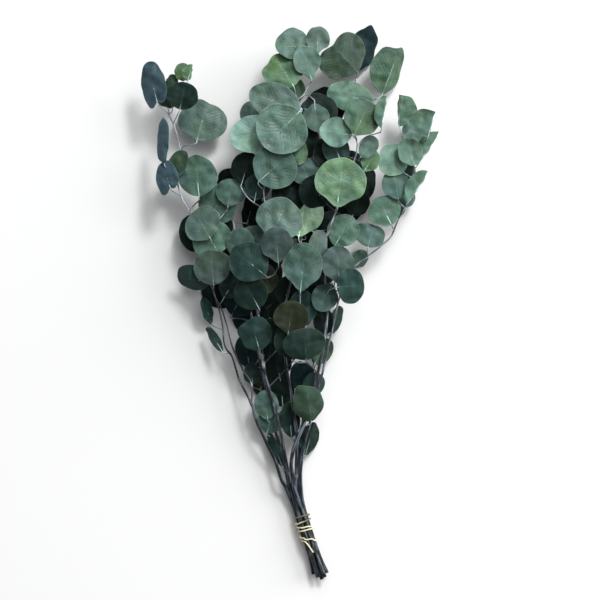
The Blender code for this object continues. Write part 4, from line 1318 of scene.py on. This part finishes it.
def pale_share(line):
    """How near each point of a line is to one of the pale nodes, from 0 to 1."""
    nodes = np.array([on_sheet(x, y) for x, y in PALE_NODES])
    apart = np.linalg.norm(line[:, None, :2] - nodes[None], axis=2).min(axis=1)
    return np.exp(-((apart / PALE_REACH) ** 2))


def knuckles(line, places):
    """How much thicker a line is at each point: it swells where a petiole or a twig leaves it."""
    apart = np.linalg.norm(line[:, None] - np.array(places)[None], axis=2)
    return 1 + KNUCKLE_SWELL * np.exp(-((apart / KNUCKLE_REACH) ** 2)).max(axis=1)


def wood_shape(name, wood, leaves):
    """The bark of one stem: its main line and its twigs, with knuckles, and the petioles of its leaves. A
    twig is as thin at its fork as at its next ring."""
    shape = Shape()
    joints = [leaf.joint for leaf in leaves]
    forks = [wood.places[line[0]] for line in wood.lines[1:]]
    reach = max(np.linalg.norm(wood.places - wood.places[0], axis=1))
    for line in wood.lines:
        is_main = line is wood.lines[0]
        radii = wood.radius[line if is_main else line[1:2] + line[1:]]
        fine = smooth_line(np.column_stack([wood.places[line], radii]), RUN_STEPS)
        curve = fine[:, :3]
        share = np.linalg.norm(curve - wood.places[0], axis=1) / reach
        thin = fade(THIN_FROM - fine[:, 3], 0, THIN_FADE) * fade(share, UPPER_FROM, UPPER_FADE)
        tone = blend(bark_tone(name, share), THIN_BARK, thin[:, None])
        radius = fine[:, 3] * knuckles(curve, joints + forks)
        sides = FINE_STEM_SIDES if is_main else FINE_TWIG_SIDES
        add_tube(shape, curve, radius, sides, tone, pale_share(curve), float(is_main))
    for leaf in leaves:
        add_petiole(shape, leaf, name, reach, wood.places[0])
    return shape


def add_petiole(shape, leaf, name, reach, start):
    """The petiole and the midrib as one tapered tube. Its line is the parabola through the petiole's three
    points, and goes on as the midrib, just under the blade's middle face, towards the tip."""
    root, middle, joint = leaf.petiole()
    bend = 2 * middle - 0.5 * (root + joint)
    share = np.linspace(1, 0, PETIOLE_STEPS)[:, None]
    stalk = (1 - share) ** 2 * root + 2 * share * (1 - share) * bend + share**2 * joint
    stops = np.array(RIB_STOPS)
    angles = np.where(stops < 0, 0.0, math.pi)
    rib = leaf.fine_blade(np.abs(stops), angles) - leaf.normal * RIB_SINK
    radii = [np.linspace(*STALK_RADII, len(stalk)), np.linspace(*RIB_RADII, len(rib))]
    at_stem = blend(bark_tone(name, np.linalg.norm(joint - start) / reach), PETIOLE_TONES[0], 0.5)
    at_root = blend(leaf.rib_tone(), PETIOLE_TONES[1], 0.5)
    stalk_tones = blend(at_stem, at_root, np.linspace(0, 1, len(stalk))[:, None])
    rib_tones = blend(at_root, leaf.rib_tone(), np.linspace(0, 1, len(rib))[:, None] ** RIB_FADE)
    tones = np.vstack([stalk_tones, rib_tones])
    add_tube(shape, np.vstack([stalk, rib]), np.concatenate(radii), FINE_PETIOLE_SIDES, tones)


def add_blade(shape, leaf):
    """One blade: rings about its middle at shares of the way to the rim, on its upper face and on its
    lower face, half its thickness above and below the middle face, joined round the rim."""
    rings = np.array(BLADE_RINGS)
    spokes = np.linspace(0, 2 * math.pi, BLADE_SPOKES, endpoint=False)
    share, angle = np.meshgrid(rings, spokes, indexing="ij")
    share = np.append(share.ravel(), 0.0)
    angle = np.append(angle.ravel(), 0.0)
    face = leaf.fine_blade(share, angle)
    half = (THICK_MIDDLE + (THICK_RIM - THICK_MIDDLE) * share**2)[:, None] * leaf.normals(angle)
    count = len(face)
    grid = grid_faces(len(rings), BLADE_SPOKES)
    fan = fan_faces(0, BLADE_SPOKES, count - 1)
    side = count - 1 - BLADE_SPOKES + np.arange(BLADE_SPOKES)
    after = np.roll(side, -1)
    rim = np.stack([count + after, count + side, side, after], axis=-1)
    blade_map = np.column_stack([0.5 - 0.5 * share * np.cos(angle), 0.5 + 0.5 * share * np.sin(angle)])
    shape.add(
        np.vstack([face + half, face - half]),
        [grid, fan[:, FLIPPED], grid[:, ::-1] + count, fan + count, rim],
        tone=np.tile(leaf.face_tone(), (2 * count, 1)),
        blade=np.vstack([blade_map, blade_map]),
        rim=np.tile(share, 2),
        seed=np.full(2 * count, leaf.seed),
        flush=np.full(2 * count, FLUSH.get(leaf.tone, USUAL_FLUSH)),
        under=np.repeat([0.0, 1.0], count),
    )


def plug(tree, socket, value):
    """Gives a socket a link, a number, a vector or a colour."""
    if isinstance(value, bpy.types.NodeSocket):
        tree.links.new(value, socket)
    elif socket.type == "RGBA":
        socket.default_value = (*value, 1.0)
    else:
        socket.default_value = value


def node(tree, kind, inputs=(), **settings):
    """Adds a node, with its settings and what each named input gets."""
    made = tree.nodes.new(kind)
    for name, value in settings.items():
        setattr(made, name, value)
    for key, value in dict(inputs).items():
        plug(tree, made.inputs[key], value)
    return made


def calc(tree, operation, *terms):
    """A Math node on sockets or numbers."""
    return node(tree, "ShaderNodeMath", dict(enumerate(terms)), operation=operation).outputs[0]


def weighted(tree, start, terms):
    """A number plus the sum of sockets times their weights."""
    total = start
    for socket, weight in terms:
        total = calc(tree, "MULTIPLY_ADD", socket, weight, total)
    return total


def ramp(tree, value, low, high, to_low=0.0, to_high=1.0):
    """A smooth step from one number to another while a value goes from low to high."""
    inputs = {"Value": value, "From Min": low, "From Max": high, "To Min": to_low, "To Max": to_high}
    return node(tree, "ShaderNodeMapRange", inputs, interpolation_type="SMOOTHSTEP").outputs["Result"]


def attribute(tree, name, output="Fac"):
    return node(tree, "ShaderNodeAttribute", attribute_name=name).outputs[output]


def scaled(tree, vector, amount):
    """A vector or a colour times a number."""
    return node(tree, "ShaderNodeVectorMath", {0: vector, "Scale": amount}, operation="SCALE").outputs[0]


def shifted(tree, place, reach, seed):
    """A place moved by a reach times a leaf's seed, so that no two leaves have the same marks."""
    inputs = {0: place, 1: scaled(tree, reach, seed)}
    return node(tree, "ShaderNodeVectorMath", inputs, operation="ADD").outputs[0]


def mix_colour(tree, factor, first, second, blend_type="MIX"):
    """A colour between two, or with a factor of 1 their product or their sum."""
    inputs = {0: factor, 6: first, 7: second}
    return node(tree, "ShaderNodeMix", inputs, data_type="RGBA", blend_type=blend_type).outputs[2]


def tinted(tree, colour, tint):
    return mix_colour(tree, 1.0, colour, tint, "MULTIPLY")


def raised(tree, colour, lift):
    return mix_colour(tree, 1.0, colour, lift, "ADD")


def new_group(name, vector, numbers, results):
    """An empty shader node group that takes a vector and numbers and gives numbers, and its inner ends."""
    group = bpy.data.node_groups.new(name, "ShaderNodeTree")
    group.interface.new_socket(vector, in_out="INPUT", socket_type="NodeSocketVector")
    for label in numbers:
        group.interface.new_socket(label, in_out="INPUT", socket_type="NodeSocketFloat")
    for label in results:
        group.interface.new_socket(label, in_out="OUTPUT", socket_type="NodeSocketFloat")
    return group, group.nodes.new("NodeGroupInput").outputs, group.nodes.new("NodeGroupOutput").inputs


def mottle_group():
    """Patches of lighter and darker colour: two noises, coarse and fine, round 1. The grain is the fine
    noise, and the swell is a smooth one for the relief."""
    numbers = ["Coarse", "Fine", "Fineness", "Depth"]
    group, given, results = new_group("mottle", "Vector", numbers, ["Shade", "Grain", "Swell"])
    noises = []
    for scale, detail in (("Coarse", MOTTLE_DETAIL), ("Fine", MOTTLE_DETAIL), ("Coarse", SWELL_DETAIL)):
        inputs = {"Vector": given["Vector"], "Scale": given[scale], "Detail": detail}
        noises.append(node(group, "ShaderNodeTexNoise", inputs).outputs["Fac"])
    coarse, fine, swell = noises
    both = calc(group, "MULTIPLY_ADD", fine, given["Fineness"], coarse)
    mean = calc(group, "MULTIPLY_ADD", given["Fineness"], 0.5, 0.5)
    shade = calc(group, "MULTIPLY_ADD", calc(group, "SUBTRACT", both, mean), given["Depth"], 1.0)
    plug(group, results["Shade"], shade)
    plug(group, results["Grain"], fine)
    plug(group, results["Swell"], swell)
    return group


def vein_group():
    """Veins of a blade. Along it, the root is at -1 and the tip at 1; across it, the midrib is at 0 and the
    rim at 1. Side veins leave the midrib evenly and curve forwards: they are where the place along less a
    power of the distance from the midrib is a whole number of steps. A ring vein runs inside the rim, and
    a net of fine veins fills the cells between."""
    group, given, results = new_group("veins", "Blade", ["Rim", "Seed"], ["Rib", "Side", "Net"])
    parts = node(group, "ShaderNodeSeparateXYZ", {"Vector": given["Blade"]}).outputs
    along = calc(group, "MULTIPLY_ADD", parts["X"], 2.0, -1.0)
    across = calc(group, "ABSOLUTE", calc(group, "MULTIPLY_ADD", parts["Y"], 2.0, -1.0))
    own = shifted(group, given["Blade"], VEIN_SHIFT, given["Seed"])
    wobble = node(group, "ShaderNodeTexNoise", {"Vector": own, **WOBBLE_NOISE}).outputs["Fac"]
    curve = calc(group, "MULTIPLY", calc(group, "POWER", across, VEIN_POWER), VEIN_FORWARD)
    place = calc(group, "MULTIPLY_ADD", wobble, VEIN_WOBBLE, calc(group, "SUBTRACT", along, curve))
    apart = calc(group, "PINGPONG", calc(group, "ADD", place, 3.0), VEIN_STEP)
    lines = calc(group, "MULTIPLY", ramp(group, apart, *SIDE_EDGE), ramp(group, given["Rim"], *SIDE_END))
    off_ring = calc(group, "ABSOLUTE", calc(group, "SUBTRACT", given["Rim"], RING_PLACE))
    side = calc(group, "MAXIMUM", lines, ramp(group, off_ring, *RING_EDGE))
    rib = calc(group, "MULTIPLY", ramp(group, across, *RIB_EDGE), ramp(group, along, *RIB_END))
    cells = {"Vector": own, "Scale": NET_SCALE}
    to_edge = node(group, "ShaderNodeTexVoronoi", cells, feature="DISTANCE_TO_EDGE").outputs["Distance"]
    plug(group, results["Rib"], rib)
    plug(group, results["Side"], side)
    plug(group, results["Net"], ramp(group, to_edge, *NET_EDGE))
    return group


def new_material(name):
    material = bpy.data.materials.new(name)
    material.use_nodes = True
    tree = material.node_tree
    return material, tree, tree.nodes["Principled BSDF"].inputs


def relief(tree, shader, height, strength, distance):
    bump = node(tree, "ShaderNodeBump", {"Height": height, "Strength": strength, "Distance": distance})
    plug(tree, shader["Normal"], bump.outputs["Normal"])


def leaf_colour(tree, tone, place, patches, lines):
    """The blade's colour: patches, yellow-green flushes, a pale bloom, pale veins, a pale rim that is partly
    its own margin and partly a painted highlight, a paler under face and a few brown specks."""
    colour = scaled(tree, tone, patches["Shade"])
    clouds = node(tree, "ShaderNodeTexNoise", {"Vector": place, **LEAF_CLOUDS}).outputs["Fac"]
    flush = calc(tree, "MULTIPLY", ramp(tree, clouds, *FLUSH_RAMP), attribute(tree, "flush"))
    colour = mix_colour(tree, flush, colour, tinted(tree, colour, FLUSH_TINT))
    bloom = ramp(tree, clouds, *BLOOM_RAMP)
    colour = mix_colour(tree, bloom, colour, tinted(tree, colour, BLOOM_TINT))
    pale = raised(tree, tinted(tree, colour, VEIN_TINT), VEIN_LIFT)
    vein = 0.0
    for name, share in VEIN_SHARES.items():
        vein = calc(tree, "MAXIMUM", vein, calc(tree, "MULTIPLY", lines[name], share))
    colour = mix_colour(tree, vein, colour, pale)
    # Pale rim: partly the margin's own colour, partly a painted highlight along the edge
    edge = ramp(tree, attribute(tree, "rim"), *RIM_RAMP)
    colour = mix_colour(tree, edge, colour, raised(tree, pale, RIM_MARGIN_AND_HIGHLIGHT))
    back = calc(tree, "MULTIPLY", attribute(tree, "under"), BACK_SHARE)
    colour = mix_colour(tree, back, colour, BACK_TONE)
    dots = node(tree, "ShaderNodeTexVoronoi", {"Vector": place, "Scale": SPECK_SCALE}).outputs["Distance"]
    dot = calc(tree, "MULTIPLY", ramp(tree, dots, *SPECK_EDGE), ramp(tree, patches["Grain"], *SPECK_PLACES))
    return mix_colour(tree, calc(tree, "MULTIPLY", dot, SPECK_SHARE), colour, SPECK_TONE)


def leaf_material(mottle, veins):
    """Waxy blades in the tone that each leaf carries."""
    material, tree, shader = new_material("waxy leaf")
    seed = attribute(tree, "seed")
    tone = attribute(tree, "tone", "Color")
    place = shifted(tree, node(tree, "ShaderNodeTexCoord").outputs["Object"], LEAF_SHIFT, seed)
    patches = node(tree, "ShaderNodeGroup", {"Vector": place, **LEAF_MOTTLE}, node_tree=mottle).outputs
    blade = node(tree, "ShaderNodeUVMap", uv_map="blade").outputs["UV"]
    inputs = {"Blade": blade, "Rim": attribute(tree, "rim"), "Seed": seed}
    lines = node(tree, "ShaderNodeGroup", inputs, node_tree=veins).outputs
    plug(tree, shader["Base Color"], leaf_colour(tree, tone, place, patches, lines))
    light = node(tree, "ShaderNodeRGBToBW", {"Color": tone}).outputs[0]
    plug(tree, shader["Specular IOR Level"], ramp(tree, light, *SHINE_RAMP))
    terms = [(patches["Swell"], SWELL_ROUGHNESS), (attribute(tree, "under"), UNDER_ROUGHNESS)]
    plug(tree, shader["Roughness"], weighted(tree, LEAF_ROUGHNESS, terms))
    waves = {"Side": lines["Side"], "Net": lines["Net"], "Grain": patches["Grain"], "Swell": patches["Swell"]}
    height = weighted(tree, 0.0, [(waves[name], weight) for name, weight in LEAF_RELIEF.items()])
    relief(tree, shader, height, 1.0, LEAF_RELIEF_HEIGHT)
    return material


def bark_material(mottle):
    """Smooth bark, streaked along the stem with pale blue-grey patches of painted highlight, with pale nodes
    and cut wood.
    """
    material, tree, shader = new_material("bark")
    inputs = {"Vector": attribute(tree, "grain", "Vector"), **BARK_MOTTLE}
    streaks = node(tree, "ShaderNodeGroup", inputs, node_tree=mottle).outputs
    tone = attribute(tree, "tone", "Color")
    # Painted highlight: pale blue-grey streaks that shine more, as if the bark were lit along them
    streak_highlight = ramp(tree, streaks["Swell"], *HIGHLIGHT_STREAK_RAMP)
    colour = mix_colour(tree, streak_highlight, scaled(tree, tone, streaks["Shade"]), tinted(tree, tone, HIGHLIGHT_STREAK_TINT))
    colour = mix_colour(tree, attribute(tree, "pale"), colour, PALE_NODE)
    colour = mix_colour(tree, attribute(tree, "cut"), colour, CUT_WOOD)
    plug(tree, shader["Base Color"], colour)
    rough = weighted(tree, BARK_ROUGHNESS, [(streaks["Grain"], STREAK_ROUGHNESS)])
    plug(tree, shader["Roughness"], rough)
    plug(tree, shader["Specular IOR Level"], weighted(tree, BARK_SHINE, [(streak_highlight, HIGHLIGHT_STREAK_SHINE)]))
    relief(tree, shader, streaks["Shade"], BARK_RELIEF, BARK_RELIEF_HEIGHT)
    return material


def rubber_material(mottle):
    """Rubber in the tone that each loop carries, slightly mottled."""
    material, tree, shader = new_material("band rubber")
    inputs = {"Vector": attribute(tree, "grain", "Vector"), **RUBBER_MOTTLE}
    dirt = node(tree, "ShaderNodeGroup", inputs, node_tree=mottle).outputs
    plug(tree, shader["Base Color"], scaled(tree, attribute(tree, "tone", "Color"), dirt["Shade"]))
    rough = weighted(tree, RUBBER_ROUGHNESS, [(dirt["Grain"], DIRT_ROUGHNESS)])
    plug(tree, shader["Roughness"], rough)
    relief(tree, shader, dirt["Grain"], RUBBER_RELIEF, RUBBER_RELIEF_HEIGHT)
    return material


def settle(piece, node_name):
    """Ties a finished piece to its body and hides the node that it replaces."""
    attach(piece, "root")
    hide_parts(node_name)


def add_band(mottle):
    """The rubber band: a round strand whose loops nearest to the leaves are darker."""
    strand = smooth_line(band_line(), RUN_STEPS)
    below = strand[:, 1].max() - strand[:, 1]
    tones = blend(DARK_RUBBER, RUBBER_TONE, fade(below, DARK_RUBBER_REACH, DARK_RUBBER_FADE)[:, None])
    band = Shape()
    add_tube(band, strand, np.full(len(strand), BAND_RADIUS), FINE_BAND_SIDES, tones)
    settle(band.build("rubber_band", rubber_material(mottle)), "tie_band")


def dress_bunch():
    """The foliage and the bark of every stem, and the band."""
    mottle = mottle_group()
    leaf_look = leaf_material(mottle, vein_group())
    bark_look = bark_material(mottle)
    draw = np.random.default_rng(FINISH_SEED)
    for name, (wood, leaves) in lay_bunch().items():
        foliage = Shape()
        for leaf in leaves:
            leaf.detail(draw)
            add_blade(foliage, leaf)
        settle(foliage.build("foliage_" + name, leaf_look), "leafy_stem_" + name)
        bark = wood_shape(name, wood, leaves)
        settle(bark.build("bark_" + name, bark_look), "leafy_stem_" + name)
    add_band(mottle)


def lay_floor():
    """A plain pale floor."""
    mesh = bpy.data.meshes.new("floor")
    corners = [(x * FLOOR_HALF, y * FLOOR_HALF, 0) for x, y in ((-1, -1), (1, -1), (1, 1), (-1, 1))]
    mesh.from_pydata(corners, [], [(0, 1, 2, 3)])
    plane = bpy.data.objects.new("floor", mesh)
    bpy.context.scene.collection.objects.link(plane)
    material, tree, shader = new_material("floor")
    plug(tree, shader["Base Color"], FLOOR_TONE)
    plug(tree, shader["Roughness"], FLOOR_ROUGHNESS)
    mesh.materials.append(material)


def light_scene():
    """Square lamps that face the bunch, and a pale world. A wide one and a smaller one shine from beyond
    the leaf tips, a little to the right: the first for soft shadows on the floor, the second for the
    clearer ones of leaf on leaf. A low one shines from the right."""
    for name, (place, size, power) in LAMPS.items():
        data = bpy.data.lights.new(name, "AREA")
        data.shape = "SQUARE"
        data.size = size
        data.energy = power
        lamp = bpy.data.objects.new(name, data)
        bpy.context.scene.collection.objects.link(lamp)
        lamp.location = place
        lamp.rotation_euler = Vector(place).to_track_quat("Z", "Y").to_euler()
    world = bpy.data.worlds.new("pale room")
    world.use_nodes = True
    background = world.node_tree.nodes["Background"].inputs
    plug(world.node_tree, background["Color"], WORLD_TONE)
    plug(world.node_tree, background["Strength"], WORLD_STRENGTH)
    bpy.context.scene.world = world
    bpy.context.scene.view_settings.view_transform = "Standard"


def look_down():
    """The camera, straight above the middle of the sheet, which fills the picture at the crown's height."""
    data = bpy.data.cameras.new("camera")
    data.sensor_width = CAMERA_SENSOR
    data.lens = CAMERA_SENSOR * (CAMERA_HEIGHT - FOCUS_HEIGHT) / SHEET_WIDTH
    camera = bpy.data.objects.new("camera", data)
    bpy.context.scene.collection.objects.link(camera)
    camera.location = (*(on_sheet(*SHEET_MIDDLE) * MM), CAMERA_HEIGHT)
    bpy.context.scene.camera = camera


look_down()
dress_bunch()
lay_floor()
light_scene()
